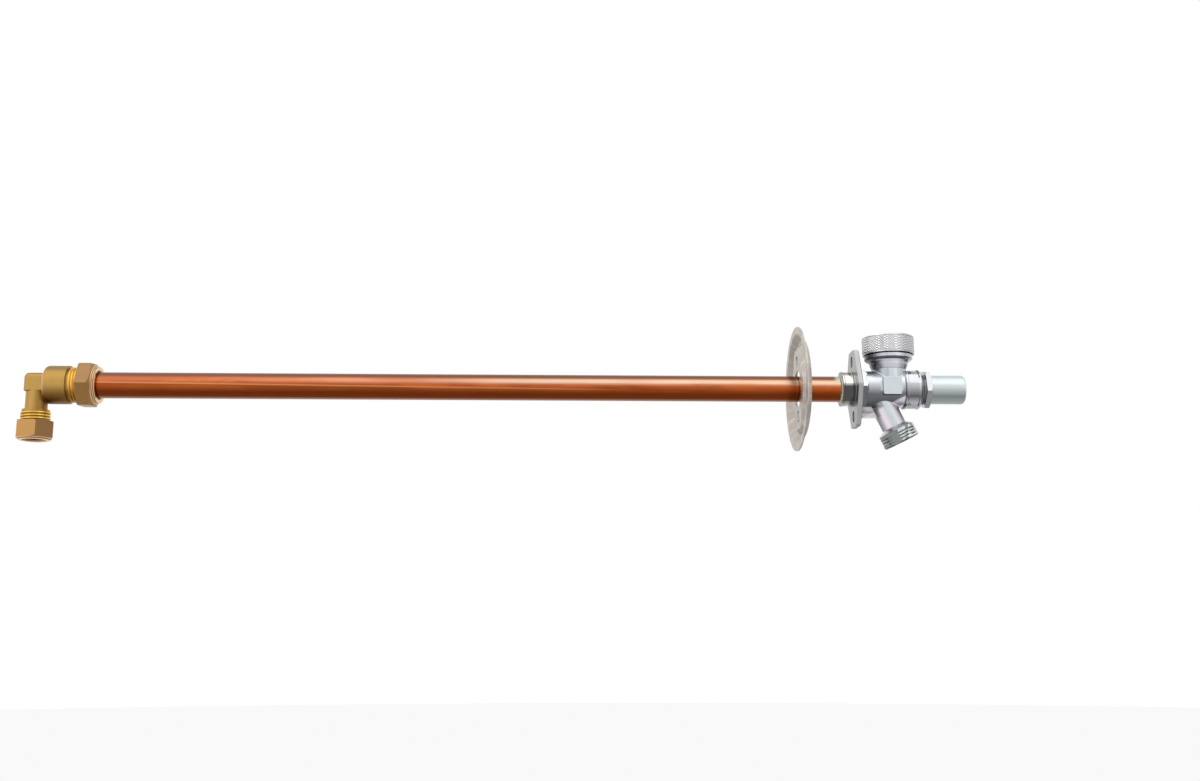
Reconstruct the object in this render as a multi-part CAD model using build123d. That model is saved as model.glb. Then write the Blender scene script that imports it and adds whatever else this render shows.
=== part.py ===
from build123d import *
from math import cos, pi, radians, sin, sqrt
import os

# Frost free sillcock: a key-operated garden tap whose valve seat sits at the far
# end of a long copper tube, inside the warm wall. Millimetres. +X points out of
# the wall along the tube, +Z is up, and the origin is the centre of the mounting
# flange's back face. The valve is shown shut.

# Driving dimensions: the supply tube and its reach through the wall
wall_reach = 596.0            # flange back face to the axis of the inlet leg
tube_od = 19.05
tube_wall = 1.2
tube_insertion = 22.0         # length of tube inside the elbow's socket
socket_depth = 14.0           # length of tube inside the valve body's collar

# Driving dimensions: fits, seats and cuts
solder_gap = 0.05             # radial, brazed and soldered sockets
thread_gap = 0.05             # radial, screwed joints drawn as plain cylinders
running_gap = 0.05            # radial, turning and sliding pieces
seal_gap = 0.03               # radial, rubber against the wall it seals on
pipe_gap = 0.1                # radial, pipe in its socket
loose_gap = 0.30              # between pieces that must not rub
stop_gap = 0.40               # left at the end of the stem's travel
overcut = 1.0                 # how far a cut or a join runs past a face
contact_gap = 0.001           # radial, solder on its tube; reach of a cone past its face
thread_depth = 0.8            # crest to root where a thread shows
thread_runout = 0.5           # root diameter carried on under the mating piece
thread_lead = 0.8             # bevel at the mouth of a male thread
hex_corner = 0.5              # rounding along a hexagon's corners

# Driving dimensions: valve body casting
collar_od = 25.4
collar_length = 9.1
collar_lip = 0.2              # how far the collar's end rings stand out
collar_lip_length = 1.2
collar_ring_length = 2.0      # ring against the flange
solder_width = 1.2
solder_length = 1.6
solder_edge = 0.1
flange_height = 57.2
flange_width = 45.0
flange_end_flat = 17.0
flange_thickness = 3.6
flange_corner = 3.5
flange_edge = 0.5
screw_spacing = 41.0          # between the centres of the two slots
slot_width = 6.0
slot_length = 8.5
hex_flats = 26.0
hex_length = 5.8
hex_bevel = 1.6               # cone at the hexagon's front end
barrel_od = 27.0
barrel_length = 27.8
waterway_d = 15.5
bonnet_waist_d = 28.6
bonnet_lip_d = 29.6
bonnet_length = 11.4
bonnet_lip_length = 1.3
bonnet_slope = 0.8            # length of the cone between lip and waist
bonnet_edge = 0.4
pad_x = 26.3
pad_rise = 0.5                # pad centre above the tube's axis
pad_size = 13.7
pad_reach = 15.5              # pad face to the tube's axis
pad_corner = 1.2
pad_edge = 0.5

# Driving dimensions: vacuum breaker branch on top
branch_x = 27.6
neck_root_d = 24.8
neck_root_z = 14.2
neck_shoulder_d = 27.8
neck_shoulder_z = 17.8
neck_hollow = 0.3             # share of the flare reached two thirds up it
neck_fillet = 0.8
rim_d = 35.2
rim_top_z = 24.8
rim_height = 2.4
rim_bevel = 0.9               # bevel under the rim, inwards and downwards
breaker_port_d = 14.0
breaker_bore_d = 24.0
breaker_seat_z = 17.2
gasket_thickness = 1.0
float_chamber_d = 18.0
float_lift = 3.0
float_thickness = 2.2
float_stem_d = 5.0
float_stem_head = 0.5         # stem standing above its disc
float_disc_thickness = 1.5
float_disc_margin = 2.0       # disc past the air port's lip, across
float_wing_thickness = 1.4
float_wing_reach = 4.0        # above the air port's lip
vent_d = 8.0
vent_lip_height = 0.6
vent_lip_width = 1.0
breaker_hex_flats = 26.0
breaker_hex_length = 2.6
breaker_boss_d = 15.0
vent_window_d = 3.4
vent_window_count = 4
vent_window_rise = 0.4        # above the breaker's hexagon
cap_overhang = 1.6            # cap past the rim, all round
cap_air_gap = 0.8             # between the rim and the cap's edge
cap_height = 13.7
cap_wall = 2.3
cap_ceiling = 2.2
cap_chamfer = 0.6
cap_edge = 1.3
cap_socket_wall = 2.0
cap_socket_depth = 4.5

# Driving dimensions: hose outlet, slanting down and out
outlet_x = 16.6               # where the outlet's axis crosses the tube's axis
outlet_tilt = 25.8            # degrees from straight down
outlet_reach = 43.6           # along the outlet's axis to its end face
outlet_pipe_d = 18.2
outlet_bore_d = 13.6
outlet_fillet = 1.2
hose_thread_d = 27.2
hose_thread_length = 9.8
hose_shoulder = 3.0
hose_mouth_d = 21.0
hose_mouth_depth = 7.0
hose_flat_width = 9.0         # the two flats milled across the thread
hose_flat_turn = 30.0         # degrees about the outlet's axis
gusset_thickness = 4.0
gusset_drop = 21.4
gusset_nose = 2.0             # lower edge carried past the outlet's crossing
gusset_overlap = 0.9          # part of the drop where it follows the outlet's axis

# Driving dimensions: headwork with its key shroud
headwork_thread_d = 22.4
headwork_thread_length = 9.4  # screwed into the body
headwork_gap = 3.7            # thread left showing in front of the bonnet
headwork_hex_flats = 26.4
headwork_hex_length = 4.1
headwork_hex_turn = 13.0      # degrees about the tube's axis
headwork_hex_edge = 0.3
headwork_hex_bevel = 1.0
shroud_od = 21.4
shroud_length = 25.9
shroud_bore_d = 17.0
shroud_edge = 1.2
pilot_d = 18.4
pilot_length = 4.3
pilot_seal_section = 1.78
pilot_groove_length = 2.3

# Driving dimensions: stem and washer
stem_travel = 6.0
rod_d = 8.0
rod_end_gap = 1.0             # rod end to the bottom of the spindle's ferrule
spindle_thread_d = 12.0
spindle_thread_length = 10.2
thread_engagement = 5.9       # screwed in when the valve is shut
spindle_d = 9.0
spindle_nose = 1.0            # bevel at the key square's end
gland_length = 13.0
key_square = 7.0
key_square_length = 15.3
ferrule_wall = 1.5
ferrule_depth = 10.0
ferrule_end = 6.0             # solid metal past the rear ferrule's bore
pin_d = 2.0
seal_section = 1.5
seal_pitch = 3.2
seal_setback = 1.9            # gland's inner end to the first seal's middle
groove_slack = 0.2            # either side of a seal in its groove
washer_d = 11.6
washer_thickness = 4.0
washer_hole_d = 4.4
holder_flats = 13.4
holder_length = 17.5
holder_cup = 2.5
holder_edge = 0.8
holder_rim_gap = 0.1
spigot_d = 7.0
spigot_length = 9.0
ring_section = 1.2
ring_slack = 0.1              # either side of the wire ring in its groove
screw_d = 4.0
screw_depth = 7.0
screw_hole_spare = 0.5
screw_head_d = 6.8
screw_head_height = 1.8
screw_head_edge = 0.6
seat_bore_d = 8.2
seat_length = 14.0
seat_lip_width = 1.2
seat_lip_height = 1.5
seat_lip_spread = 0.6         # the lip's foot past its crown
seat_inset = 12.0             # tube's inner end to the seat's inner face

# Driving dimensions: compression elbow at the inlet
inlet_pipe_d = 15.0
elbow_leg_d = 15.5
elbow_block_width = 15.8
elbow_block_reach = 8.1       # behind and above the axes' crossing
elbow_block_drop = 5.0        # below it
elbow_block_round = 3.6
elbow_wall = 2.1
elbow_barrel_d = 28.0
elbow_barrel_start = 6.4      # from the leg's axis
elbow_barrel_end = 23.5
elbow_barrel_round = 3.0
tube_thread_d = 26.0
tube_thread_end = 37.5        # from the leg's axis
inlet_thread_d = 20.9
inlet_thread_top = 18.6       # below the tube's axis
inlet_thread_end = 33.5
inlet_shoulder = 0.9          # top of the inlet thread to the pipe's stop
tube_nut_flats = 30.6
tube_nut_start = 31.3
tube_nut_hex_end = 39.8
tube_nut_collar = 42.0        # where its round end starts
tube_nut_end = 44.5
tube_nut_collar_d = 28.0
tube_nut_end_d = 26.6
tube_nut_turn = 4.0           # degrees about the tube's axis
inlet_nut_flats = 24.5
inlet_nut_start = 27.0
inlet_nut_hex_end = 38.2
inlet_nut_collar = 39.4
inlet_nut_end = 40.7
inlet_nut_collar_d = 24.0
inlet_nut_end_d = 21.2
inlet_nut_turn = -22.0        # degrees about the leg's axis
nut_chamfer = 0.8
nut_mouth = 1.2               # bevel inside a nut's outer end
nut_pipe_gap = 0.25           # radial, pipe in the nut's end
nut_thread_spare = 0.6        # thread in the nut past the socket's end
olive_cone = 1.6
olive_thickness = 1.4
olive_length = 3.6            # between its two cones
olive_gap = 0.02              # radial, olive on its pipe
olive_edge = 0.05

# Driving dimensions: pressed wall plate, waiting on the tube
plate_od = 92.0
plate_thickness = 1.0
plate_rim_width = 5.2
plate_step_width = 4.4
plate_step = 4.0
plate_bend = 1.2              # radius of the bends, at the sheet's middle
plate_hole_gap = 0.5          # radial, over the collar's rings
pocket_depth = 3.0
pocket_slope = 3.0
pocket_gap = 0.7
pocket_round = 0.9            # bend at the pocket's mouth
plate_slot_width = 6.7
plate_slot_length = 8.9
plate_standoff = 40.0

# Sizes that follow from the driving dimensions: valve body
tube_id = tube_od - 2 * tube_wall
elbow_x = -wall_reach
hex_start = flange_thickness
barrel_start = hex_start + hex_length
barrel_end = barrel_start + barrel_length
bonnet_end = barrel_end + bonnet_length
rim_underside_z = rim_top_z - rim_height - rim_bevel
hose_thread_start = outlet_reach - hose_thread_length
tube_start = elbow_x + tube_thread_end - tube_insertion
tube_end = socket_depth - collar_length
plate_hole_d = collar_od + 2 * collar_lip + 2 * plate_hole_gap

# Sizes that follow from the driving dimensions: vacuum breaker
float_disc_top = breaker_seat_z + float_thickness + float_disc_thickness
vent_lip_d = vent_d + 2 * vent_lip_width
vent_lip_z = float_disc_top + float_lift
vent_plate_z = vent_lip_z + vent_lip_height
cap_od = rim_d + 2 * cap_overhang
cap_bottom_z = rim_top_z + cap_air_gap
cap_top_z = cap_bottom_z + cap_height
cap_ceiling_z = cap_top_z - cap_ceiling

# Sizes that follow from the driving dimensions: headwork and stem
headwork_start = bonnet_end - headwork_thread_length - pilot_length
headwork_hex_start = bonnet_end + headwork_gap
hex_front = headwork_hex_start + headwork_hex_length
shroud_end = hex_front + shroud_length
pilot_seal_x = headwork_start + pilot_length / 2
spindle_thread_end = headwork_start + thread_engagement
spindle_thread_start = spindle_thread_end - spindle_thread_length
spindle_start = spindle_thread_start - ferrule_depth
spindle_pin_x = spindle_start + ferrule_depth / 2
gland_start = spindle_thread_end + stem_travel + stop_gap
gland_end = gland_start + gland_length
spindle_seal_places = [gland_start + seal_setback, gland_start + seal_setback + seal_pitch]
square_start = gland_end + loose_gap
square_end = square_start + key_square_length
ferrule_d = rod_d + 2 * ferrule_wall
seat_start = tube_start + seat_inset
seat_face = seat_start + seat_length + seat_lip_height
cup_floor = seat_face + washer_thickness
screw_tip = cup_floor + screw_depth
holder_end = cup_floor + holder_length
ring_x = holder_end - spigot_length / 2
tip_shoulder = holder_end + loose_gap
tip_end = tip_shoulder + ferrule_depth + ferrule_end
tip_pin_x = tip_end - ferrule_depth / 2
rod_start = tip_end - ferrule_depth
rod_end = spindle_start + ferrule_depth - rod_end_gap


def turned(*corners):
    """Solid of revolution about the X axis from its (x, radius) corners."""
    outline = Polyline(*[(x, 0, radius) for x, radius in corners], close=True)
    return revolve(make_face(outline), Axis.X, 360)


def bar(start, end, diameter):
    """Round bar along the X axis."""
    return Pos(start, 0, 0) * Rot(0, 90, 0) * Cylinder(
        diameter / 2, end - start, align=(Align.CENTER, Align.CENTER, Align.MIN)
    )


def tube(start, end, outer, inner):
    """Round tube along the X axis."""
    return bar(start, end, outer) - bar(start - overcut, end + overcut, inner)


def hex_bar(start, end, flats, turn=0.0):
    """Hexagonal bar along the X axis, its corners eased; a flat faces up when turn is 0."""
    section = RegularPolygon(flats / 2, 6, major_radius=False)
    section = Rot(0, 0, turn) * fillet(section.vertices(), hex_corner)
    return Pos(start, 0, 0) * extrude(Plane.YZ * section, end - start)


def upright(piece, x=0.0, z=0.0):
    """Stand a piece made along the X axis up along +Z."""
    return Pos(x, 0, z) * Rot(0, -90, 0) * piece


def downward(piece, x=0.0, z=0.0, tilt=0.0):
    """Point a piece made along the X axis down, tilted towards +X."""
    return Pos(x, 0, z) * Rot(0, 90 - tilt, 0) * piece


def seal_ring(x, outer_radius, section):
    """O-ring about the X axis that reaches outer_radius, its section an octagon."""
    middle = outer_radius - section / 2
    half = section / 2
    corner = half * (sqrt(2) - 1)
    return turned(
        (x - half, middle - corner), (x - half, middle + corner),
        (x - corner, middle + half), (x + corner, middle + half),
        (x + half, middle + corner), (x + half, middle - corner),
        (x + corner, middle - half), (x - corner, middle - half),
    )


def flange_outline(grow=0.0):
    """Elongated hexagon of the mounting flange, in the YZ plane."""
    half_height = flange_height / 2 + grow
    half_width = flange_width / 2 + grow
    half_flat = flange_end_flat / 2 + grow / 2
    points = [
        (half_flat, half_height), (half_width, 0), (half_flat, -half_height),
        (-half_flat, -half_height), (-half_width, 0), (-half_flat, half_height),
    ]
    outline = make_face(Polyline(*points, close=True))
    return fillet(outline.vertices(), flange_corner)


def screw_slots(width, length, start, end):
    """Two upright slots for the wall screws, from start to end along X."""
    slots = Part()
    for side in (1, -1):
        slot = Rot(0, 0, 90) * SlotOverall(length, width)
        slots += extrude(Plane.YZ.offset(start) * Pos(0, side * screw_spacing / 2) * slot,
                         end - start)
    return slots


def make_collar():
    """Socket for the tube, behind the flange, with a ring at each end."""
    radius = collar_od / 2
    lip = radius + collar_lip
    lip_end = collar_lip_length - collar_length
    return turned(
        (-collar_length, 0), (-collar_length, lip), (lip_end, lip),
        (lip_end + collar_lip, radius), (-collar_ring_length - collar_lip, radius),
        (-collar_ring_length, lip), (0, lip), (0, 0),
    )


def make_flange():
    """Mounting flange, its front edge eased."""
    flange = extrude(Plane.YZ * flange_outline(), flange_thickness)
    return chamfer(flange.faces().sort_by(Axis.X)[-1].edges(), flange_edge)


def make_body_hexagon():
    """Hexagon in front of the flange, coned towards the barrel."""
    corner = hex_flats / 2 / cos(pi / 6)
    return hex_bar(hex_start, barrel_start, hex_flats) & turned(
        (hex_start, 0), (hex_start, corner), (barrel_start - hex_bevel, corner),
        (barrel_start, barrel_od / 2), (barrel_start, 0),
    )


def make_neck():
    """Neck of the breaker branch, flaring out to its rim."""
    root = neck_root_d / 2
    shoulder = neck_shoulder_d / 2
    rim = rim_d / 2
    flare = rim - rim_bevel - shoulder
    outline = [
        Polyline((shoulder, 0, neck_shoulder_z), (root, 0, neck_root_z), (root, 0, 0),
                 (0, 0, 0), (0, 0, rim_top_z), (rim, 0, rim_top_z),
                 (rim, 0, rim_top_z - rim_height), (rim - rim_bevel, 0, rim_underside_z)),
        ThreePointArc(
            (rim - rim_bevel, 0, rim_underside_z),
            (shoulder + neck_hollow * flare, 0, (neck_shoulder_z + 2 * rim_underside_z) / 3),
            (shoulder, 0, neck_shoulder_z),
        ),
    ]
    return Pos(branch_x, 0, 0) * revolve(make_face(outline), Axis.Z, 360)


def make_outlet():
    """Outlet pipe that widens to the hose thread, with its two milled flats."""
    radius = hose_thread_d / 2
    outlet = turned(
        (0, 0), (0, outlet_pipe_d / 2), (hose_thread_start - hose_shoulder, outlet_pipe_d / 2),
        (hose_thread_start, radius), (outlet_reach - thread_lead, radius),
        (outlet_reach, radius - thread_lead), (outlet_reach, 0),
    )
    flat_distance = sqrt(radius ** 2 - (hose_flat_width / 2) ** 2)
    for side in (0, 180):
        outlet -= Rot(hose_flat_turn + side, 0, 0) * Pos(hose_thread_start, -flat_distance, 0) * Box(
            hose_thread_length + overcut, hose_thread_d, hose_thread_d,
            align=(Align.MIN, Align.MAX, Align.CENTER),
        )
    return downward(outlet, outlet_x, tilt=outlet_tilt)


def make_gusset():
    """Web under the barrel, between the flange and the outlet."""
    follow = gusset_drop * gusset_overlap
    web = make_face(Polyline(
        (flange_thickness / 2, 0), (outlet_x, 0),
        (outlet_x + follow * sin(radians(outlet_tilt)), -follow),
        (outlet_x + gusset_nose, -gusset_drop), (flange_thickness / 2, -gusset_drop), close=True,
    ))
    return extrude(Plane.XZ * web, gusset_thickness / 2, both=True)


def make_pad():
    """Square pad on the barrel's side."""
    pad = Pos(pad_x, -pad_reach / 2, pad_rise) * Box(pad_size, pad_reach, pad_size)
    pad = fillet(pad.edges().filter_by(Axis.Y), pad_corner)
    return fillet(pad.faces().sort_by(Axis.Y)[0].edges(), pad_edge)


def make_bonnet_end():
    """Front end of the body, waisted between two lips."""
    waist = bonnet_waist_d / 2
    lip = bonnet_lip_d / 2
    rear_lip = barrel_end + bonnet_lip_length
    front_lip = bonnet_end - bonnet_lip_length
    return turned(
        (barrel_end - bonnet_slope, 0), (barrel_end - bonnet_slope, barrel_od / 2),
        (barrel_end, lip), (rear_lip, lip), (rear_lip + bonnet_slope, waist),
        (front_lip - bonnet_slope, waist), (front_lip, lip), (bonnet_end - bonnet_edge, lip),
        (bonnet_end, lip - bonnet_edge), (bonnet_end, 0),
    )


def make_valve_body():
    """Cast body: collar, flange, barrel, breaker neck, outlet and bonnet end."""
    barrel = bar(barrel_start - overcut, barrel_end + bonnet_length / 2, barrel_od)
    neck = make_neck()
    joined = barrel + neck
    casting = fillet(new_edges(barrel, neck, combined=joined), neck_fillet)
    outlet = make_outlet()
    joined = casting + outlet
    casting = fillet(new_edges(casting, outlet, combined=joined), outlet_fillet)
    body = casting + make_collar() + make_flange() + make_body_hexagon()
    body = body + make_gusset() + make_pad() + make_bonnet_end()

    thread_floor = headwork_start + pilot_length
    body -= bar(-collar_length - overcut, tube_end, tube_od + 2 * solder_gap)
    body -= bar(tube_end - overcut, bonnet_end - overcut, waterway_d)
    body -= bar(headwork_start, bonnet_end + overcut, pilot_d)
    body -= bar(thread_floor, bonnet_end + overcut, headwork_thread_d)
    body -= upright(bar(0, rim_top_z + overcut, breaker_port_d), branch_x)
    body -= upright(bar(breaker_seat_z, rim_top_z + overcut, breaker_bore_d), branch_x)
    bore = bar(0, outlet_reach + overcut, outlet_bore_d)
    mouth = bar(outlet_reach - hose_mouth_depth, outlet_reach + overcut, hose_mouth_d)
    body -= downward(bore, outlet_x, tilt=outlet_tilt)
    body -= downward(mouth, outlet_x, tilt=outlet_tilt)
    body -= screw_slots(slot_width, slot_length, -overcut, flange_thickness + overcut)
    return body


def make_supply_tube():
    """Copper tube from the elbow's socket to the body's collar."""
    return tube(tube_start, tube_end, tube_od, tube_id)


def make_solder_fillet():
    """Ring of solder at the mouth of the collar."""
    inner = tube_od / 2 + contact_gap
    rear = -collar_length - solder_length
    return turned(
        (-collar_length, inner), (-collar_length, inner + solder_width),
        (rear, inner + solder_edge), (rear, inner),
    )


def make_headwork():
    """Screwed headwork: pilot, thread, hexagon, gland and key shroud in one."""
    thread_od = headwork_thread_d - 2 * thread_gap
    pilot = bar(headwork_start, headwork_start + pilot_length + overcut, pilot_d - 2 * thread_gap)
    thread = bar(headwork_start + pilot_length, hex_front, thread_od)
    corner = headwork_hex_flats / 2 / cos(pi / 6)
    hexagon = hex_bar(headwork_hex_start, hex_front, headwork_hex_flats, headwork_hex_turn)
    hexagon &= turned(
        (headwork_hex_start, 0), (headwork_hex_start, corner - headwork_hex_edge),
        (headwork_hex_start + headwork_hex_edge, corner), (hex_front - headwork_hex_bevel, corner),
        (hex_front, headwork_hex_flats / 2), (hex_front, 0),
    )
    shroud = turned(
        (hex_front - overcut, 0), (hex_front - overcut, shroud_od / 2),
        (shroud_end - shroud_edge, shroud_od / 2), (shroud_end, (shroud_od - shroud_edge) / 2),
        (shroud_end, 0),
    )
    headwork = pilot + thread + hexagon + shroud
    headwork -= tube(bonnet_end - thread_runout, headwork_hex_start, thread_od + overcut,
                     thread_od - 2 * thread_depth)
    headwork -= bar(headwork_start - overcut, gland_start, spindle_thread_d + 2 * running_gap)
    headwork -= bar(gland_start - overcut, gland_end + overcut, spindle_d + 2 * running_gap)
    headwork -= bar(gland_end, shroud_end + overcut, shroud_bore_d)
    groove_floor = pilot_d - 2 * pilot_seal_section - 4 * seal_gap
    return headwork - tube(pilot_seal_x - pilot_groove_length / 2,
                           pilot_seal_x + pilot_groove_length / 2, pilot_d + overcut, groove_floor)


def make_headwork_seal():
    """O-ring between the headwork's pilot and the body."""
    return seal_ring(pilot_seal_x, pilot_d / 2 - seal_gap, pilot_seal_section)


def make_spindle():
    """Turned spindle: rod ferrule, lifting thread, sealed shank and key square."""
    shank = spindle_d / 2
    groove_floor = shank + running_gap - 2 * seal_gap - seal_section
    half_groove = seal_section / 2 + groove_slack
    socket = rod_d / 2 + solder_gap
    outline = [
        (spindle_start, socket), (spindle_start, ferrule_d / 2),
        (spindle_thread_start, ferrule_d / 2), (spindle_thread_start, spindle_thread_d / 2),
        (spindle_thread_end, spindle_thread_d / 2), (spindle_thread_end, shank),
    ]
    for place in spindle_seal_places:
        outline += [
            (place - half_groove, shank), (place - half_groove, groove_floor),
            (place + half_groove, groove_floor), (place + half_groove, shank),
        ]
    outline += [
        (square_end - spindle_nose, shank), (square_end, key_square / 2), (square_end, 0),
        (spindle_start + ferrule_depth, 0), (spindle_start + ferrule_depth, socket),
    ]
    spindle = turned(*outline)
    for turn in range(4):
        flat = Pos(square_start, 0, key_square / 2) * Box(
            key_square_length + overcut, spindle_d + overcut, spindle_d,
            align=(Align.MIN, Align.CENTER, Align.MIN),
        )
        spindle -= Rot(90 * turn, 0, 0) * flat
    return spindle - cross_pin(spindle_pin_x, solder_gap)


def make_spindle_seals():
    """The two O-rings that seal the spindle in the gland."""
    radius = spindle_d / 2 + running_gap - seal_gap
    return [seal_ring(place, radius, seal_section) for place in spindle_seal_places]


def cross_pin(x, grow=0.0):
    """Pin through a ferrule and the rod, along Y; grow widens it for its hole."""
    return Pos(x, 0, 0) * Rot(90, 0, 0) * Cylinder(pin_d / 2 + grow, ferrule_d + 4 * grow)


def make_stem_pins():
    """The two pins that lock the rod to its end pieces."""
    return [cross_pin(spindle_pin_x), cross_pin(tip_pin_x)]


def make_stem_rod():
    """Long rod from the spindle back to the washer end."""
    rod = bar(rod_start, rod_end, rod_d)
    for x in (spindle_pin_x, tip_pin_x):
        rod -= cross_pin(x, solder_gap)
    return rod


def make_stem_tip():
    """Rear end of the stem: ferrule for the rod and spigot for the holder."""
    tip = bar(tip_shoulder, tip_end, ferrule_d)
    tip += bar(tip_shoulder - loose_gap - spigot_length, tip_shoulder + overcut, spigot_d)
    tip -= bar(rod_start, tip_end + overcut, rod_d + 2 * solder_gap)
    half_groove = ring_section / 2 + ring_slack
    groove_floor = spigot_d - ring_section - 2 * running_gap
    tip -= tube(ring_x - half_groove, ring_x + half_groove, spigot_d + overcut, groove_floor)
    return tip - cross_pin(tip_pin_x, solder_gap)


def make_washer_holder():
    """Square holder that slides in the tube and carries the seat washer."""
    radius = tube_id / 2 - 2 * running_gap
    start = cup_floor - holder_cup
    holder = Pos(start, 0, 0) * Box(
        holder_end - start, holder_flats, holder_flats,
        align=(Align.MIN, Align.CENTER, Align.CENTER),
    )
    holder &= turned(
        (start, 0), (start, radius - holder_edge), (start + holder_edge, radius),
        (holder_end - holder_edge, radius), (holder_end, radius - holder_edge), (holder_end, 0),
    )
    holder -= bar(start - overcut, cup_floor, washer_d + 2 * holder_rim_gap)
    holder -= bar(cup_floor - overcut, screw_tip, screw_d + 2 * thread_gap)
    bore_end = holder_end - spigot_length - running_gap
    holder -= bar(bore_end, holder_end + overcut, spigot_d + 2 * running_gap)
    half_groove = ring_section / 2 + ring_slack
    return holder - bar(ring_x - half_groove, ring_x + half_groove,
                        spigot_d + ring_section + 2 * running_gap)


def make_holder_ring():
    """Wire ring in the matched grooves of holder and spigot."""
    return seal_ring(ring_x, (spigot_d + ring_section) / 2, ring_section)


def make_seat_washer():
    """Rubber washer that shuts the valve."""
    return tube(seat_face, cup_floor, washer_d, washer_hole_d)


def make_washer_screw():
    """Domed screw that holds the washer in its cup."""
    head = turned(
        (seat_face, 0), (seat_face, screw_head_d / 2),
        (seat_face - screw_head_edge, screw_head_d / 2),
        (seat_face - screw_head_height, screw_head_d / 4), (seat_face - screw_head_height, 0),
    )
    return head + bar(seat_face, screw_tip - screw_hole_spare, screw_d)


def make_valve_seat():
    """Bushing brazed in the tube, with the raised lip that the washer meets."""
    bore = seat_bore_d / 2
    lip = bore + seat_lip_width
    shell = tube_id / 2 - solder_gap
    end = seat_start + seat_length
    return turned(
        (seat_start, bore), (seat_start, shell), (end, shell), (end, lip + seat_lip_spread),
        (seat_face, lip), (seat_face, bore),
    )


def make_breaker_bonnet():
    """Screwed cage above the float, with the air port and the cap's boss."""
    start = breaker_seat_z + gasket_thickness
    hex_top = rim_top_z + breaker_hex_length
    boss_top = cap_ceiling_z - loose_gap
    bonnet = bar(start, rim_top_z, breaker_bore_d - 2 * thread_gap)
    bonnet += hex_bar(rim_top_z, hex_top, breaker_hex_flats)
    bonnet += bar(rim_top_z, boss_top, breaker_boss_d)
    bonnet -= bar(start - overcut, vent_plate_z, float_chamber_d)
    bonnet += bar(vent_lip_z, vent_plate_z + overcut, vent_lip_d)
    bonnet -= bar(start - overcut, boss_top + overcut, vent_d)
    window_z = hex_top + vent_window_d / 2 + vent_window_rise
    for count in range(vent_window_count):
        turn = Rot(count * 360 / vent_window_count, 0, 0)
        bonnet -= turn * Pos(window_z, 0, 0) * Cylinder(
            vent_window_d / 2, breaker_boss_d,
            align=(Align.CENTER, Align.CENTER, Align.MIN),
        )
    return upright(bonnet, branch_x)


def make_breaker_gasket():
    """Flat ring under the breaker's cage."""
    return upright(tube(breaker_seat_z, breaker_seat_z + gasket_thickness,
                        breaker_bore_d - 4 * thread_gap, float_chamber_d), branch_x)


def make_breaker_float():
    """Float that drops to let air in and rises to shut the air port."""
    top = breaker_seat_z + float_thickness
    wing_end = vent_plate_z + float_wing_reach
    piece = bar(breaker_seat_z, top, float_chamber_d - 2 * loose_gap)
    piece += bar(top - overcut, float_disc_top + float_stem_head, float_stem_d)
    for turn in (0, 90):
        wing = Rot(turn, 0, 0) * Pos(float_disc_top, 0, 0) * Box(
            wing_end - float_disc_top, vent_d, float_wing_thickness,
            align=(Align.MIN, Align.CENTER, Align.CENTER),
        )
        piece += wing & bar(float_disc_top, wing_end, vent_d - 2 * running_gap)
    return upright(piece, branch_x)


def make_float_disc():
    """Rubber disc on the float that meets the air port's lip."""
    return upright(tube(breaker_seat_z + float_thickness, float_disc_top,
                        vent_lip_d + 2 * float_disc_margin, float_stem_d + 2 * seal_gap), branch_x)


def make_breaker_cap():
    """Round cap over the breaker; air enters under its skirt."""
    radius = cap_od / 2
    cap = turned(
        (cap_bottom_z, 0), (cap_bottom_z, radius - cap_chamfer),
        (cap_bottom_z + cap_chamfer, radius), (cap_top_z, radius), (cap_top_z, 0),
    )
    cap = fillet(cap.faces().sort_by(Axis.X)[-1].edges(), cap_edge)
    cap -= bar(cap_bottom_z - overcut, cap_ceiling_z, cap_od - 2 * cap_wall)
    socket_d = breaker_boss_d + 2 * thread_gap
    socket_end = cap_ceiling_z - cap_socket_depth
    cap += bar(socket_end, cap_ceiling_z + overcut, socket_d + 2 * cap_socket_wall)
    cap -= bar(socket_end - overcut, cap_ceiling_z, socket_d)
    return upright(cap, branch_x)


def male_thread(start, end, diameter, hidden_from):
    """Threaded end: at root size while it shows, at crest size under its nut."""
    root = diameter / 2 - thread_depth
    return turned(
        (start - overcut, 0), (start - overcut, root), (hidden_from + thread_runout, root),
        (hidden_from + thread_runout, diameter / 2), (end - thread_lead, diameter / 2),
        (end, diameter / 2 - thread_lead), (end, 0),
    )


def cone_seat(face, pipe_d):
    """Cone at the mouth of a compression socket, where the olive bites."""
    inner = pipe_d / 2 + pipe_gap
    return turned(
        (face - olive_cone, 0), (face - olive_cone, inner),
        (face + contact_gap, inner + olive_thickness), (face + contact_gap, 0),
    )


def make_elbow_block():
    """Squared block where the elbow turns, its outer edges rounded."""
    length = elbow_block_reach + elbow_barrel_start + elbow_barrel_round
    height = elbow_block_reach + elbow_block_drop
    block = Pos(-elbow_block_reach, 0, -elbow_block_drop) * Box(
        length, elbow_block_width, height, align=(Align.MIN, Align.CENTER, Align.MIN),
    )
    rear = block.faces().sort_by(Axis.X)[0]
    top = block.faces().sort_by(Axis.Z)[-1]
    outer_edges = rear.edges().filter_by(Axis.Z) + top.edges().filter_by(Axis.X)
    outer_edges += top.edges().filter_by(Axis.Y).sort_by(Axis.X)[0:1]
    return fillet(outer_edges, elbow_block_round)


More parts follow.
